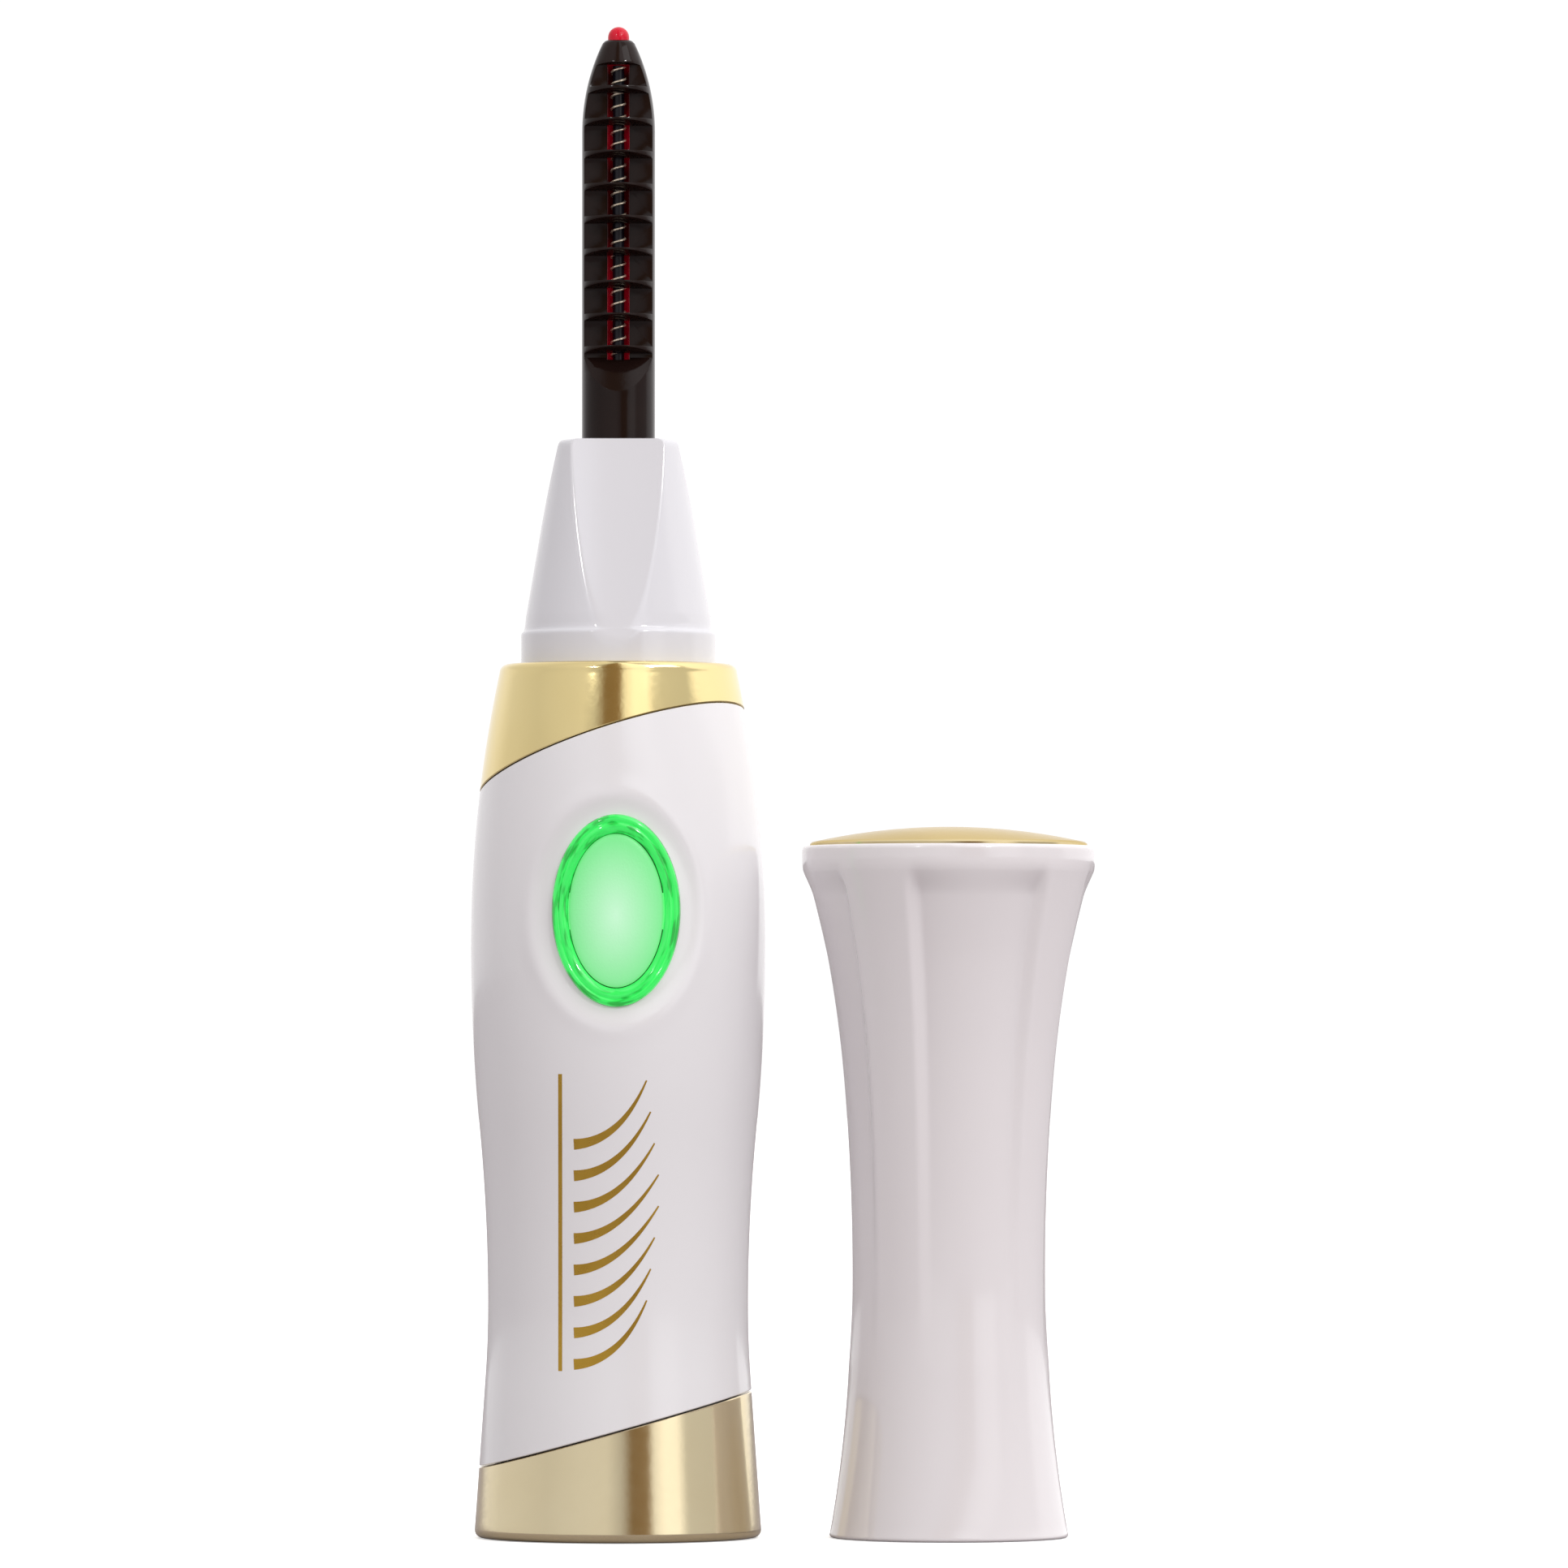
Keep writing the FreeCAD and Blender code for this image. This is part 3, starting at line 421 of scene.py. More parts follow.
# ---- black comb wand -----------------------------------------------------------------------------
# A round wand moulded in black-brown heat-proof plastic. Its front is cut down to a flat floor that
# carries nine thin fins, with a slot up the middle for the heater and a scooped end at the foot.
ROD_R, ROD_FOOT = 3.25, 84.0
STOP_RING_R, STOP_RING_LOW, STOP_RING_TOP = 4.5, 88.0, 89.3
NOSE_START, NOSE_TOP, NOSE_TOP_R = 124.6, 132.8, 1.30
FLOOR_Y = -1.2
FIN_COUNT, FIN_PITCH, TOP_FIN_Z, FIN_ROOT, TOP_CEILING = 9, 2.89, 128.6, 0.62, 130.5
HEATER_Y, SLOT_HALF, SLOT_LOW, SLOT_HIGH = -0.35, 1.02, 103.8, 131.2
SCOOP_TOP, SCOOP_FOOT, SCOOP_FRONT, EDGE_ROUND = 104.5, 100.3, -4.0, 0.09
CUTTER_HALF = 5

nose_sweep = (NOSE_TOP - NOSE_START) ** 2 / (2 * (ROD_R - NOSE_TOP_R)) + 1.0
wand_outline = ([(ROD_R, ROD_FOOT), (ROD_R, STOP_RING_LOW), (STOP_RING_R, STOP_RING_LOW),
                 (STOP_RING_R, STOP_RING_TOP - 0.5), (STOP_RING_R - 0.5, STOP_RING_TOP),
                 (ROD_R, STOP_RING_TOP)]
                + [(ROD_R, z) for z in between(96.0, NOSE_START, 1.2)]
                + [(swept(ROD_R, NOSE_START, -nose_sweep, z), z)
                   for z in between(NOSE_START, NOSE_TOP - 0.3, 0.5)[1:]]
                + [(NOSE_TOP_R - 0.05, NOSE_TOP - 0.08), (NOSE_TOP_R - 0.22, NOSE_TOP)])
wand_piece = turned("black_comb_wand", wand_outline, sides=144, filled=True)


def side_cutter(name, profile, half_wide):
    """A bar across the wand with a four-cornered (y, z) profile."""
    bpy.ops.object.select_all(action="DESELECT")
    bpy.ops.mesh.primitive_cube_add(size=2)
    cutter = bpy.context.object
    cutter.name = name
    back_low, back_high, front_high, front_low = profile
    for corner in cutter.data.vertices:
        high, front = corner.co.z > 0, corner.co.y < 0
        y, z = (front_high if high else front_low) if front else (back_high if high else back_low)
        corner.co = (corner.co.x * half_wide, y, z)
    return cutter


def slot_cutter(name, half, low, high, front):
    """A U-shaped bar up the wand: round behind, straight-sided in front."""
    bpy.ops.object.select_all(action="DESELECT")
    bpy.ops.mesh.primitive_cylinder_add(vertices=48, radius=half, depth=high - low,
                                        location=(0, HEATER_Y, (low + high) / 2))
    cutter = bpy.context.object
    cutter.name = name
    bpy.ops.object.transform_apply(location=True)
    for corner in cutter.data.vertices:
        if corner.co.y < HEATER_Y - 0.001:
            ahead = HEATER_Y - corner.co.y
            corner.co.y = HEATER_Y - ahead / half * (HEATER_Y - front)
            corner.co.x = math.copysign(half, corner.co.x) if abs(corner.co.x) > 0.25 * half else corner.co.x
    return cutter


cut_away(wand_piece, slot_cutter("heater_slot", SLOT_HALF, SLOT_LOW, SLOT_HIGH, FLOOR_Y - 0.15))
fin_tops = [TOP_FIN_Z - FIN_PITCH * fin for fin in range(FIN_COUNT)]
ceilings = [TOP_CEILING] + [top - FIN_ROOT for top in fin_tops[:-1]]
pocket_front = -ROD_R - 0.6
for low, high in zip(fin_tops, ceilings):
    pocket = [(FLOOR_Y, low), (FLOOR_Y, high), (pocket_front, high + FIN_ROOT), (pocket_front, low)]
    cut_away(wand_piece, side_cutter("pocket", pocket, CUTTER_HALF))
scoop = [(FLOOR_Y, SCOOP_TOP), (FLOOR_Y, fin_tops[-1] - FIN_ROOT), (SCOOP_FRONT, fin_tops[-1] + 0.1),
         (SCOOP_FRONT, SCOOP_FOOT)]
cut_away(wand_piece, side_cutter("scoop", scoop, CUTTER_HALF))
wand_edges = wand_piece.modifiers.new("edges", "BEVEL")
wand_edges.width = EDGE_ROUND
wand_edges.segments = 2
wand_edges.limit_method = "ANGLE"
wand_edges.angle_limit = math.radians(28)
bpy.ops.object.modifier_apply(modifier=wand_edges.name)
bpy.ops.object.mode_set(mode="EDIT")
bpy.ops.mesh.select_all(action="SELECT")
bpy.ops.mesh.dissolve_degenerate(threshold=0.0004)
bpy.ops.object.mode_set(mode="OBJECT")
comb_black = surfaced("black comb moulding", (0.0075, 0.0032, 0.0027), (0.016, 0.0075, 0.0058), (0.08, 0.15),
                      patch=300.0, relief=0.03, Specular_IOR_Level=0.18)
settle(wand_piece, comb_black, "handle", ["comb_housing"], crease=26.0)

# ---- heater: winding, core, red liner ------------------------------------------------------------
# Bright resistance wire wound on a dark ceramic core. Both lie in a red heat-proof liner, whose stem
# comes out at the nose as a rounded tip.
WIRE_R, WIND_R, WIND_PITCH, WIND_FOOT, WIND_TURNS = 0.105, 0.64, 1.094, 104.1, 24
# Painted light and shade along the slot: each (height in mm, level) steps the liner's red brighter or darker,
# and the same colour feeds its painted glow.
LINER_PAINTED_LIGHT = [(104.4, 1.0), (106.6, 0.55), (109.4, 1.0), (112.4, 0.8), (115.3, 0.10), (118.2, 0.16),
               (121.0, 0.14), (123.9, 1.0), (126.8, 0.20), (129.6, 0.06), (131.4, 1.0)]

bpy.ops.object.select_all(action="DESELECT")
bpy.ops.mesh.primitive_circle_add(vertices=10, radius=WIRE_R, rotation=(math.pi / 2, 0, 0),
                                  location=(WIND_R, 0, WIND_FOOT + WIRE_R))
winding = bpy.context.object
winding.name = winding.data.name = "heater_winding"
bpy.ops.object.transform_apply(location=True, rotation=True)
wind = winding.modifiers.new("wind", "SCREW")
wind.steps = wind.render_steps = 26
wind.iterations = WIND_TURNS
wind.screw_offset = WIND_PITCH
wind.use_merge_vertices = True
bpy.context.view_layer.objects.active = winding
bpy.ops.object.modifier_apply(modifier=wind.name)
bpy.ops.object.mode_set(mode="EDIT")
bpy.ops.mesh.select_all(action="SELECT")
bpy.ops.mesh.remove_doubles(threshold=0.001)
bpy.ops.mesh.fill_holes(sides=0)
bpy.ops.mesh.select_all(action="SELECT")
bpy.ops.mesh.normals_make_consistent(inside=False)
bpy.ops.object.mode_set(mode="OBJECT")
for corner in winding.data.vertices:
    corner.co.y += HEATER_Y
bright_wire = surfaced("bright resistance wire", (0.95, 0.84, 0.68), (0.78, 0.66, 0.50), (0.16, 0.26),
                       patch=700.0, Metallic=0.6)
settle(winding, bright_wire, "handle", ["heater_coil"])


def dress(finish, *names):
    """Gives CAD nodes whose shape is right their finish."""
    for name in names:
        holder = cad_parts[name]
        if len(holder.data.materials) == 0:
            holder.data.materials.append(finish)
        for place in holder.material_slots:
            place.material = finish


def fill_ramp(ramp, stops):
    """Sets a colour ramp's stops from (place, (red, green, blue)), low to high."""
    for end, (place, tone) in ((0, stops[0]), (1, stops[-1])):
        ramp.elements[end].position = place
        ramp.elements[end].color = (*tone, 1)
    for place, tone in stops[1:-1]:
        ramp.elements.new(place).color = (*tone, 1)


def banded(finish, name, stops):
    """Colours a finish by height, from foot to top of a CAD node, and returns its colour ramp node."""
    nodes, links = finish.node_tree.nodes, finish.node_tree.links
    place, split = nodes.new("ShaderNodeTexCoord"), nodes.new("ShaderNodeSeparateXYZ")
    height, bands = nodes.new("ShaderNodeMapRange"), nodes.new("ShaderNodeValToRGB")
    low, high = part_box(name)
    height.inputs["From Min"].default_value = low.z
    height.inputs["From Max"].default_value = high.z
    fill_ramp(bands.color_ramp, stops)
    links.new(place.outputs["Object"], split.inputs["Vector"])
    links.new(split.outputs["Z"], height.inputs["Value"])
    links.new(height.outputs["Result"], bands.inputs["Fac"])
    links.new(bands.outputs["Color"], nodes["Principled BSDF"].inputs["Base Color"])
    return bands


# The liner's faint emission is a painted glow, and below its red is painted brighter and darker by height:
# painted light and shade.
red_liner = surfaced("red liner", (0.56, 0.003, 0.022), (0.40, 0.002, 0.012), (0.12, 0.22), patch=500.0,
                     Specular_IOR_Level=0.30, Emission_Strength=0.10)
dark_core = surfaced("dark ceramic core", (0.004, 0.004, 0.008), (0.009, 0.008, 0.013), (0.22, 0.36),
                     patch=500.0, Specular_IOR_Level=0.25)
liner_low, liner_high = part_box("heat_indicator")
liner_tall = liner_high.z - liner_low.z
# Painted light and shade: the liner's colour, and its emission with it, is scaled by the level given at each
# height.
liner_painted_light_stops = [((z * MM - liner_low.z) / liner_tall, (0.56 * glow, 0.003, 0.022 * glow))
               for z, glow in LINER_PAINTED_LIGHT]
liner_painted_light_bands = banded(red_liner, "heat_indicator", liner_painted_light_stops)
liner_shader = red_liner.node_tree.nodes["Principled BSDF"]
red_liner.node_tree.links.new(liner_painted_light_bands.outputs["Color"], liner_shader.inputs["Emission Color"])
dress(red_liner, "heat_indicator")
dress(dark_core, "heater_core")

# ---- clear ring and frosted pad ------------------------------------------------------------------
# An oval ring of clear green acrylic carries light round the button. The pad inside it is frosted,
# lit from behind by the board's lamps, and sinks when it is pressed.
PAD_HALF, PAD_BACK = (4.15, 6.72), -11.4
RING_BORE_HALF, RING_BACK = (4.25, 6.82), -8.95
PAD_GLOW_HALF, PAD_GLOW_DROP = (4.6, 7.6), 0.4
STREAKS_ROUND, STREAKS_ACROSS = 2.3, 13.0


def oval_piece(name, outline, inner, outer, back, filled):
    """A turned piece made oval: each (share, proud) runs from the inner to the outer oval, and stands
    proud of the handle's skin by so much, or lies on the flat back where proud is None."""
    rings = [(1.0 + share, -float(order)) for order, (share, proud) in enumerate(outline)]
    piece = turned(name, rings, sides=200, filled=filled)
    for corner in piece.data.vertices:
        order = min(round(-corner.co.z), len(outline) - 1)
        share, proud = outline[order]
        angle = math.atan2(corner.co.y, corner.co.x)
        half_wide = inner[0] + (outer[0] - inner[0]) * share
        half_high = inner[1] + (outer[1] - inner[1]) * share
        x, rise = half_wide * math.cos(angle), half_high * math.sin(angle)
        skin = handle_radius(BUTTON_Z + rise)
        y = back if proud is None else -math.sqrt(skin ** 2 - x ** 2) - proud
        corner.co = (x, y, BUTTON_Z + rise)
    return piece


ring_outline = [(0.0, None), (1.0, None), (1.0, -0.22), (0.97, -0.08), (0.90, 0.02), (0.80, 0.045),
                (0.70, 0.02), (0.64, -0.07), (0.60, -0.11), (0.55, -0.06), (0.49, 0.01), (0.38, 0.03),
                (0.26, -0.04), (0.14, -0.18), (0.05, -0.34), (0.0, -0.44)]
ring_piece = oval_piece("clear_ring", ring_outline, RING_BORE_HALF, RING_HALF, RING_BACK, False)
bpy.ops.object.mode_set(mode="EDIT")
bpy.ops.mesh.select_all(action="DESELECT")
bpy.ops.mesh.select_non_manifold()
bpy.ops.mesh.bridge_edge_loops()
bpy.ops.object.mode_set(mode="OBJECT")
clean_sides(ring_piece)
clear_green = surfaced("clear green acrylic", (0.02, 0.62, 0.08), (0.01, 0.45, 0.05), (0.03, 0.06),
                       patch=300.0, Transmission_Weight=0.25, IOR=1.49, Coat_Weight=0.5,
                       Coat_Roughness=0.03, Emission_Strength=0.58)
ring_nodes, ring_links = clear_green.node_tree.nodes, clear_green.node_tree.links
ring_place, ring_centre = ring_nodes.new("ShaderNodeTexCoord"), ring_nodes.new("ShaderNodeMapping")
ring_centre.vector_type = "TEXTURE"
ring_centre.inputs["Location"].default_value = (0.0, 0.0, BUTTON_Z * MM)
ring_centre.inputs["Scale"].default_value = (RING_HALF[0] * MM, 1.0, RING_HALF[1] * MM)
ring_way, ring_reach = ring_nodes.new("ShaderNodeVectorMath"), ring_nodes.new("ShaderNodeVectorMath")
ring_way.operation, ring_reach.operation = "NORMALIZE", "LENGTH"
ring_round, ring_across = ring_nodes.new("ShaderNodeVectorMath"), ring_nodes.new("ShaderNodeVectorMath")
ring_round.operation, ring_across.operation = "SCALE", "ADD"
ring_round.inputs["Scale"].default_value = STREAKS_ROUND
ring_spread, ring_layer = ring_nodes.new("ShaderNodeMath"), ring_nodes.new("ShaderNodeCombineXYZ")
ring_spread.operation = "MULTIPLY"
ring_spread.inputs[1].default_value = STREAKS_ACROSS
ring_streaks, ring_depth = ring_nodes.new("ShaderNodeTexNoise"), ring_nodes.new("ShaderNodeValToRGB")
ring_streaks.inputs["Scale"].default_value = 1.0
ring_streaks.inputs["Detail"].default_value = 2.0
fill_ramp(ring_depth.color_ramp, [(0.37, (0.0, 0.04, 0.010)), (0.43, (0.006, 0.30, 0.045)),
                                  (0.47, (0.03, 0.64, 0.11)), (0.70, (0.06, 0.76, 0.16))])
ring_links.new(ring_place.outputs["Object"], ring_centre.inputs["Vector"])
ring_links.new(ring_centre.outputs["Vector"], ring_way.inputs[0])
ring_links.new(ring_centre.outputs["Vector"], ring_reach.inputs[0])
ring_links.new(ring_way.outputs["Vector"], ring_round.inputs[0])
ring_links.new(ring_reach.outputs["Value"], ring_spread.inputs[0])
ring_links.new(ring_spread.outputs[0], ring_layer.inputs["Y"])
ring_links.new(ring_round.outputs["Vector"], ring_across.inputs[0])
ring_links.new(ring_layer.outputs["Vector"], ring_across.inputs[1])
ring_links.new(ring_across.outputs["Vector"], ring_streaks.inputs["Vector"])
ring_links.new(ring_streaks.outputs["Fac"], ring_depth.inputs["Fac"])
ring_links.new(ring_depth.outputs["Color"], ring_nodes["Principled BSDF"].inputs["Emission Color"])
settle(ring_piece, clear_green, "handle", ["light_ring"], crease=60.0)

pad_outline = [(1.0, None), (1.0, -0.62), (0.985, -0.50), (0.955, -0.45), (0.90, -0.44), (0.7, -0.43),
               (0.5, -0.42), (0.25, -0.42), (0.02, -0.42)]
pad_piece = oval_piece("frosted_pad", pad_outline, (0.0, 0.0), PAD_HALF, PAD_BACK, True)
clean_sides(pad_piece)
frosted_green = surfaced("frosted green pad", (0.10, 0.42, 0.15), (0.08, 0.38, 0.13), (0.34, 0.44),
                         patch=200.0, peel=5200.0, relief=0.10, Emission_Strength=0.68)
pad_nodes, pad_links = frosted_green.node_tree.nodes, frosted_green.node_tree.links
pad_place = pad_nodes.new("ShaderNodeTexCoord")
pad_centre = pad_nodes.new("ShaderNodeMapping")
pad_centre.vector_type = "TEXTURE"
pad_centre.inputs["Location"].default_value = (0.0, -12.5 * MM, (BUTTON_Z - PAD_GLOW_DROP) * MM)
pad_centre.inputs["Scale"].default_value = (PAD_GLOW_HALF[0] * MM, 30 * MM, PAD_GLOW_HALF[1] * MM)
pad_fall = pad_nodes.new("ShaderNodeTexGradient")
pad_fall.gradient_type = "SPHERICAL"
pad_glow = pad_nodes.new("ShaderNodeValToRGB")
fill_ramp(pad_glow.color_ramp, [(0.0, (0.11, 0.66, 0.17)), (1.0, (0.72, 0.86, 0.76))])
pad_links.new(pad_place.outputs["Object"], pad_centre.inputs["Vector"])
pad_links.new(pad_centre.outputs["Vector"], pad_fall.inputs["Vector"])
pad_links.new(pad_fall.outputs["Fac"], pad_glow.inputs["Fac"])
pad_links.new(pad_glow.outputs["Color"], pad_nodes["Principled BSDF"].inputs["Emission Color"])
settle(pad_piece, frosted_green, "power_button", ["power_button"], crease=60.0)

# ---- inner frame and contacts --------------------------------------------------------------------
# What shows when the handle is pulled off its base: grey-white moulded frame, plug and wand holder,
# nickel-plated strips, a steel spring and one sleeved cell.
inner_moulding = surfaced("inner moulding", (0.60, 0.60, 0.58), (0.54, 0.54, 0.52), (0.35, 0.5), patch=80.0,
                          relief=0.06)
nickel = surfaced("nickel strip", (0.66, 0.63, 0.57), (0.58, 0.55, 0.50), (0.18, 0.30), patch=300.0,
                  Metallic=1.0)
spring_steel = surfaced("spring steel", (0.55, 0.55, 0.56), (0.42, 0.42, 0.43), (0.22, 0.36), patch=300.0,
                        Metallic=1.0)
cell_sleeve = surfaced("cell sleeve", (0.05, 0.05, 0.055), (0.06, 0.06, 0.065), (0.16, 0.24), patch=80.0)
cell_bands = banded(cell_sleeve, "battery", [(0.0, (0.50, 0.50, 0.50)), (0.025, (0.06, 0.12, 0.115)),
                                             (0.70, (0.10, 0.18, 0.17)), (0.955, (0.55, 0.55, 0.55))])
cell_bands.color_ramp.interpolation = "CONSTANT"
dress(inner_moulding, "chassis", "base_plug", "wand_holder")
dress(nickel, "negative_contact", "positive_contact", "contact_strip")
dress(spring_steel, "battery_spring")
dress(cell_sleeve, "battery")

# ---- circuit board -------------------------------------------------------------------------------
# A green laminate board screwed to the frame, with the switch under the button, two lamps, a chip and
# small parts, and flat insulated leads up to the heater.
green_laminate = surfaced("green laminate", (0.012, 0.10, 0.035), (0.01, 0.08, 0.03), (0.25, 0.35),
                          patch=300.0)
board_nodes, board_links = green_laminate.node_tree.nodes, green_laminate.node_tree.links
board_place, tracks = board_nodes.new("ShaderNodeTexCoord"), board_nodes.new("ShaderNodeTexBrick")
board_turn = board_nodes.new("ShaderNodeMapping")
board_turn.inputs["Rotation"].default_value = (math.pi / 2, 0, 0)
tracks.inputs["Scale"].default_value = 260.0
tracks.inputs["Mortar Size"].default_value = 0.035
tracks.inputs["Color1"].default_value = (0.012, 0.10, 0.035, 1)
tracks.inputs["Color2"].default_value = (0.014, 0.12, 0.04, 1)
tracks.inputs["Mortar"].default_value = (0.05, 0.26, 0.09, 1)
board_links.new(board_place.outputs["Object"], board_turn.inputs["Vector"])
board_links.new(board_turn.outputs["Vector"], tracks.inputs["Vector"])
board_links.new(tracks.outputs["Color"], board_nodes["Principled BSDF"].inputs["Base Color"])
dress(green_laminate, "circuit_board")
dress(surfaced("chip black", (0.02, 0.02, 0.022), (0.03, 0.03, 0.032), (0.35, 0.5), patch=600.0),
      "board_components", "switch_base")
dress(surfaced("switch plunger red-brown", (0.14, 0.05, 0.03), (0.10, 0.04, 0.02), (0.3, 0.4)),
      "switch_plunger")
dress(surfaced("plated screw steel", (0.60, 0.60, 0.60), (0.50, 0.50, 0.50), (0.22, 0.34), Metallic=1.0),
      "board_screws", "switch_cover")
dress(surfaced("lamp lens", (0.75, 0.95, 0.75), (0.65, 0.90, 0.65), (0.1, 0.2),
               Emission_Color=(0.1, 0.9, 0.2, 1), Emission_Strength=0.5), "indicator_leds")
dress(surfaced("lead insulation", (0.45, 0.02, 0.02), (0.38, 0.015, 0.015), (0.35, 0.45)), "heater_leads")

# ---- cap shell -----------------------------------------------------------------------------------
# The flared cover for the comb, standing on its open mouth. It is moulded in pink-white gloss with four
# wide flutes that are deepest under the rim and fade out at the waist.
CAP_FOOT_R, CAP_WAIST_R, CAP_WAIST_Z = 10.60, 8.72, 21.0
CAP_NECK_R, CAP_NECK_Z, CAP_SHOULDER_R, CAP_SHOULDER_Z = 9.65, 40.5, 12.95, 59.0
CAP_TOP, CAP_RIM_R, CAP_RIM_ROUND, CAP_MOUTH_R = 61.2, 12.62, 0.40, 9.35
DOME_SEAT_R, DOME_SEAT_Z, DOME_HOLE_R, CAP_BORE_R = 12.47, 60.0, 10.9, 7.5
FLUTE_COUNT, FIRST_FLUTE, FLUTE_HALF = 4, math.radians(12.5), math.radians(30)
FLUTE_DEPTH, FLUTE_CROWN, FLUTE_TOP, FLUTE_LOW = 1.05, 0.80, 59.2, 15.0
WALL_RUN, TOP_RUN = 1.35, 2.8

cap_low, cap_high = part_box("cap_shell")
cap_across = (cap_low.x + cap_high.x) / 2 / MM


def cap_radius(z):
    """The cap's outline: a foot and a neck that swell from the waist, then a shoulder flaring faster."""
    if z <= CAP_WAIST_Z:
        return CAP_WAIST_R + (CAP_FOOT_R - CAP_WAIST_R) * ((CAP_WAIST_Z - z) / CAP_WAIST_Z) ** 2
    if z <= CAP_NECK_Z:
        swell = (z - CAP_WAIST_Z) / (CAP_NECK_Z - CAP_WAIST_Z)
        return CAP_WAIST_R + (CAP_NECK_R - CAP_WAIST_R) * swell ** 2
    lean = 2 * (CAP_NECK_R - CAP_WAIST_R) / (CAP_NECK_Z - CAP_WAIST_Z)
    bend = CAP_SHOULDER_R - CAP_NECK_R - lean * (CAP_SHOULDER_Z - CAP_NECK_Z)
    share = (z - CAP_NECK_Z) / (CAP_SHOULDER_Z - CAP_NECK_Z)
    return CAP_NECK_R + lean * (z - CAP_NECK_Z) + bend * share ** 2


cap_outline = ([(CAP_MOUTH_R, 0.0), (10.35, 0.0)] + round_corner(10.33, 0.25, 0.25, -80, -5)
               + [(cap_radius(z), z) for z in between(0.4, 54.0, 0.8)]
               + [(cap_radius(z), z) for z in between(54.0, CAP_SHOULDER_Z, 0.22)[1:]]
               + [(13.02, 59.6), (13.03, 60.1), (13.02, 60.6)]
               + round_corner(CAP_RIM_R, CAP_TOP - CAP_RIM_ROUND, CAP_RIM_ROUND, 0, 90)
               + [(DOME_SEAT_R, CAP_TOP), (DOME_SEAT_R, DOME_SEAT_Z), (DOME_HOLE_R, DOME_SEAT_Z),
                  (DOME_HOLE_R, 57.0), (CAP_BORE_R, CAP_NECK_Z), (CAP_BORE_R, 16.5), (CAP_MOUTH_R, 4.4),
                  (CAP_MOUTH_R, 0.0)])
cap_piece = turned("white_cap_shell", cap_outline, sides=360)
flute_turn = 2 * math.pi / FLUTE_COUNT
for corner in cap_piece.data.vertices:
    x, y, z = corner.co
    radius = math.hypot(x, y)
    if z < FLUTE_LOW or z > FLUTE_TOP + 0.8 or radius < cap_radius(z) - 0.3:
        continue
    angle = math.atan2(x, -y) - FIRST_FLUTE
    angle -= round(angle / flute_turn) * flute_turn
    inside = radius * (FLUTE_HALF - abs(angle))
    wall = eased((inside + 0.30) / WALL_RUN) * eased((FLUTE_TOP + 0.3 - z) / TOP_RUN)
    climb = (z - CAP_WAIST_Z) / (CAP_SHOULDER_Z - CAP_WAIST_Z)
    depth = FLUTE_DEPTH * min(max(climb * 1.05 + 0.16, 0.0), 1.0)
    crown = FLUTE_CROWN * (1 - (angle / FLUTE_HALF) ** 2) * min(max(climb, 0.0), 1.0)
    kept = radius - wall * max(depth - crown, 0.0)
    corner.co.x, corner.co.y = x / radius * kept, y / radius * kept
blush_white = surfaced("cap white gloss", (0.78, 0.747, 0.762), (0.755, 0.722, 0.737), (0.10, 0.15),
                       patch=60.0, relief=0.012, Coat_Weight=0.45, Coat_Roughness=0.04)
settle(cap_piece, blush_white, "cap", ["cap_shell"], across=cap_across, crease=50.0)
dress(surfaced("cap liner moulding", (0.66, 0.64, 0.64), (0.60, 0.58, 0.58), (0.2, 0.3), patch=80.0),
      "cap_liner")

# ---- cap dome ------------------------------------------------------------------------------------
# A shallow crowned disc, plated like the base, that snaps into the top of the shell by a short skirt
# and leaves a thin dark line all round.
DOME_R, DOME_LOW, DOME_EDGE_Z, DOME_TOP = 12.30, 60.02, 61.50, 62.9
SKIRT_R, SKIRT_BORE_R, SKIRT_LOW = 10.85, 9.95, 57.8
dome_share = [0.985, 0.96, 0.92, 0.86, 0.78, 0.68, 0.56, 0.42, 0.28, 0.14, 0.01]
dome_outline = ([(SKIRT_BORE_R, DOME_LOW), (SKIRT_BORE_R, SKIRT_LOW), (SKIRT_R, SKIRT_LOW),
                 (SKIRT_R, DOME_LOW), (DOME_R, DOME_LOW), (DOME_R, DOME_EDGE_Z - 0.12)]
                + [(DOME_R * share, DOME_TOP - (DOME_TOP - DOME_EDGE_Z) * share ** 2)
                   for share in dome_share])
dome_piece = turned("gold_cap_dome", dome_outline, filled=True)
warm_gold = surfaced("dome gold plating", (0.68, 0.57, 0.34), (0.65, 0.54, 0.31), (0.12, 0.20),
                     patch=140.0, relief=0.02, Metallic=1.0, Specular_Tint=(0.80, 0.70, 0.48, 1))
settle(dome_piece, warm_gold, "cap", ["cap_dome"], across=cap_across)

# ---- studio --------------------------------------------------------------------------------------
# A plain pale floor, a soft bright room that is dimmer to the left and has one dark gap beside the
# camera for the plating to mirror, a soft box high on the right and two small ones for glints.
CAMERA_X, CAMERA_AWAY, CAMERA_Z, AIM_Z = 0.0147, 0.914, 0.0427, 0.0667
ROOM_STOPS = [(-180, 0.60), (-135, 0.58), (-112, 0.48), (-60, 0.42), (-30, 0.46), (-8, 0.48), (4, 0.34),
              (12, 0.12), (26, 0.14), (31, 0.62), (40, 0.82), (52, 0.80), (60, 0.42), (96, 0.40), (106, 0.78),
              (150, 0.74), (180, 0.64)]
DARK_LEVEL = 0.2

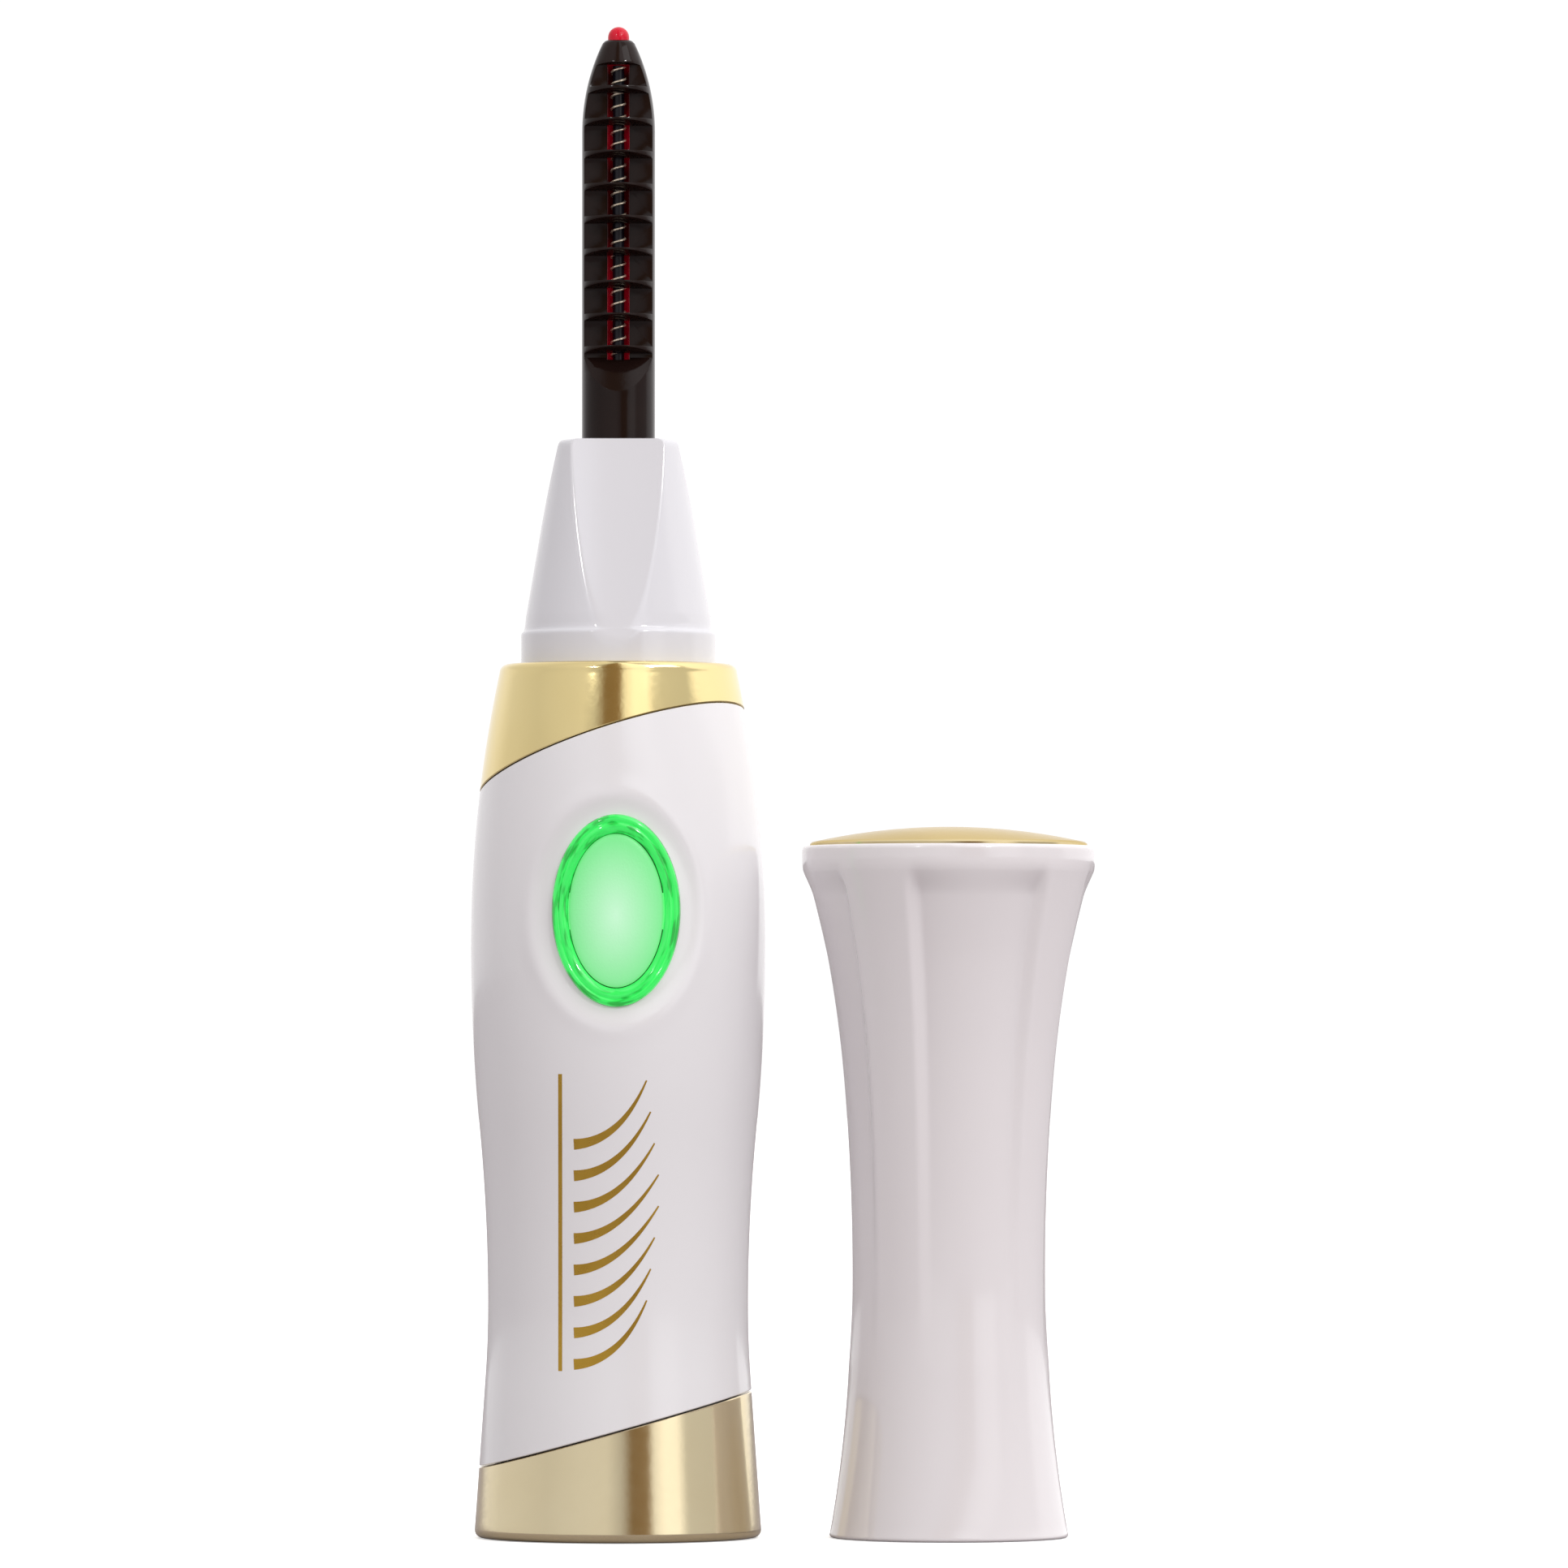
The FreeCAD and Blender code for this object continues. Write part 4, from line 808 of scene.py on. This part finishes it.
bpy.ops.object.select_all(action="DESELECT")
bpy.ops.mesh.primitive_plane_add(size=8, location=(0, 2.0, -0.00005))
floor = bpy.context.object
floor.name = "floor"
floor_paint = bpy.data.materials.new("pale floor")
floor_paint.use_nodes = True
floor_nodes, floor_links = floor_paint.node_tree.nodes, floor_paint.node_tree.links
floor_grain, floor_tone = floor_nodes.new("ShaderNodeTexNoise"), floor_nodes.new("ShaderNodeMapRange")
floor_grain.inputs["Scale"].default_value = 6.0
floor_tone.inputs["To Min"].default_value = 0.86
floor_tone.inputs["To Max"].default_value = 0.90
floor_links.new(floor_grain.outputs["Fac"], floor_tone.inputs["Value"])
floor_links.new(floor_tone.outputs["Result"], floor_nodes["Principled BSDF"].inputs["Base Color"])
floor_shader = floor_nodes["Principled BSDF"]
floor_shader.inputs["Roughness"].default_value = 0.9
floor_shader.inputs["Specular IOR Level"].default_value = 0.0
floor_shader.inputs["Emission Color"].default_value = (1, 1, 1, 1)
floor_shader.inputs["Emission Strength"].default_value = 0.45
floor_seen, floor_choice = floor_nodes.new("ShaderNodeLightPath"), floor_nodes.new("ShaderNodeMixShader")
floor_bounce = floor_nodes.new("ShaderNodeBsdfDiffuse")
floor_bounce.inputs["Color"].default_value = (0.38, 0.352, 0.36, 1)
floor_links.new(floor_seen.outputs["Is Camera Ray"], floor_choice.inputs["Fac"])
floor_links.new(floor_bounce.outputs["BSDF"], floor_choice.inputs[1])
floor_links.new(floor_shader.outputs["BSDF"], floor_choice.inputs[2])
floor_links.new(floor_choice.outputs["Shader"], floor_nodes["Material Output"].inputs["Surface"])
floor.data.materials.append(floor_paint)

room = bpy.data.worlds.new("studio room")
bpy.context.scene.world = room
room.use_nodes = True
room_nodes, room_links = room.node_tree.nodes, room.node_tree.links
room_nodes.clear()
room_way, room_split = room_nodes.new("ShaderNodeTexCoord"), room_nodes.new("ShaderNodeSeparateXYZ")
room_back, room_turn = room_nodes.new("ShaderNodeMath"), room_nodes.new("ShaderNodeMath")
room_back.operation, room_turn.operation = "MULTIPLY", "ARCTAN2"
room_back.inputs[1].default_value = -1.0
room_sweep, room_bands = room_nodes.new("ShaderNodeMapRange"), room_nodes.new("ShaderNodeValToRGB")
room_sweep.inputs["From Min"].default_value = -math.pi
room_sweep.inputs["From Max"].default_value = math.pi
room_links.new(room_way.outputs["Generated"], room_split.inputs["Vector"])
room_links.new(room_split.outputs["Y"], room_back.inputs[0])
room_links.new(room_split.outputs["X"], room_turn.inputs[0])
room_links.new(room_back.outputs[0], room_turn.inputs[1])
room_lean, room_slant = room_nodes.new("ShaderNodeMapRange"), room_nodes.new("ShaderNodeMath")
room_slant.operation = "ADD"
for label, value in (("From Min", 0.19), ("From Max", 0.32), ("To Min", 0.0), ("To Max", 0.42)):
    room_lean.inputs[label].default_value = value
room_links.new(room_split.outputs["Z"], room_lean.inputs["Value"])
room_links.new(room_turn.outputs[0], room_slant.inputs[0])
room_links.new(room_lean.outputs[0], room_slant.inputs[1])
room_links.new(room_slant.outputs[0], room_sweep.inputs["Value"])
room_links.new(room_sweep.outputs["Result"], room_bands.inputs["Fac"])
room_tones = []
for turn, level in ROOM_STOPS:
    warm_dark = (level * 1.2, level * 0.80, level * 0.42)
    room_tones.append(((turn + 180) / 360,
                       warm_dark if level < DARK_LEVEL else (level, level * 0.985, level * 0.99)))
fill_ramp(room_bands.color_ramp, room_tones)
room_seen = room_nodes.new("ShaderNodeLightPath")
room_lit, room_white = room_nodes.new("ShaderNodeBackground"), room_nodes.new("ShaderNodeBackground")
room_lit.inputs["Strength"].default_value = 1.94
room_white.inputs["Color"].default_value = (1, 1, 1, 1)
room_white.inputs["Strength"].default_value = 1.05
room_choice, room_out = room_nodes.new("ShaderNodeMixShader"), room_nodes.new("ShaderNodeOutputWorld")
room_height, room_shade = room_nodes.new("ShaderNodeMapRange"), room_nodes.new("ShaderNodeMix")
room_shade.data_type, room_shade.blend_type = "RGBA", "MULTIPLY"
room_shade.inputs[0].default_value = 1.0
room_height.inputs["From Min"].default_value = -0.2
room_height.inputs["From Max"].default_value = 1.0
room_height.inputs["To Min"].default_value = 0.85
room_height.inputs["To Max"].default_value = 1.05
room_links.new(room_split.outputs["Z"], room_height.inputs["Value"])
room_links.new(room_bands.outputs["Color"], room_shade.inputs[6])
room_links.new(room_height.outputs["Result"], room_shade.inputs[7])
room_links.new(room_shade.outputs[2], room_lit.inputs["Color"])
room_links.new(room_seen.outputs["Is Camera Ray"], room_choice.inputs["Fac"])
room_links.new(room_lit.outputs["Background"], room_choice.inputs[1])
room_links.new(room_white.outputs["Background"], room_choice.inputs[2])
room_links.new(room_choice.outputs["Shader"], room_out.inputs["Surface"])


def soft_box(name, place, aim, wide, high, watts):
    """A soft light that the camera doesn't see, turned to face a point."""
    bpy.ops.object.light_add(type="AREA", location=place)
    lamp = bpy.context.object
    lamp.name = name
    lamp.data.shape = "RECTANGLE"
    lamp.data.size, lamp.data.size_y = wide, high
    lamp.data.energy = watts
    way = [aim[axis] - place[axis] for axis in range(3)]
    lamp.rotation_euler = (math.atan2(math.hypot(way[0], way[1]), -way[2]), 0, math.atan2(-way[0], way[1]))
    lamp.visible_camera = False


soft_box("key_box", (0.80, -0.62, 1.05), (0.01, 0, 0.07), 0.7, 0.7, 3.5)
soft_box("right_glint", (0.50, -0.70, 0.62), (0, 0, 0.09), 0.06, 0.08, 2.0)
soft_box("left_glint", (-0.37, -0.80, 0.58), (0, 0, 0.09), 0.045, 0.06, 0.8)

bpy.ops.object.camera_add(location=(CAMERA_X, -CAMERA_AWAY, CAMERA_Z))
camera = bpy.context.object
camera.data.sensor_width = 36.0
camera.data.lens = 236.6
camera.rotation_euler = (math.pi / 2 + math.atan2(AIM_Z - CAMERA_Z, CAMERA_AWAY), 0, 0)
bpy.context.scene.camera = camera
bpy.context.scene.view_settings.view_transform = "Standard"
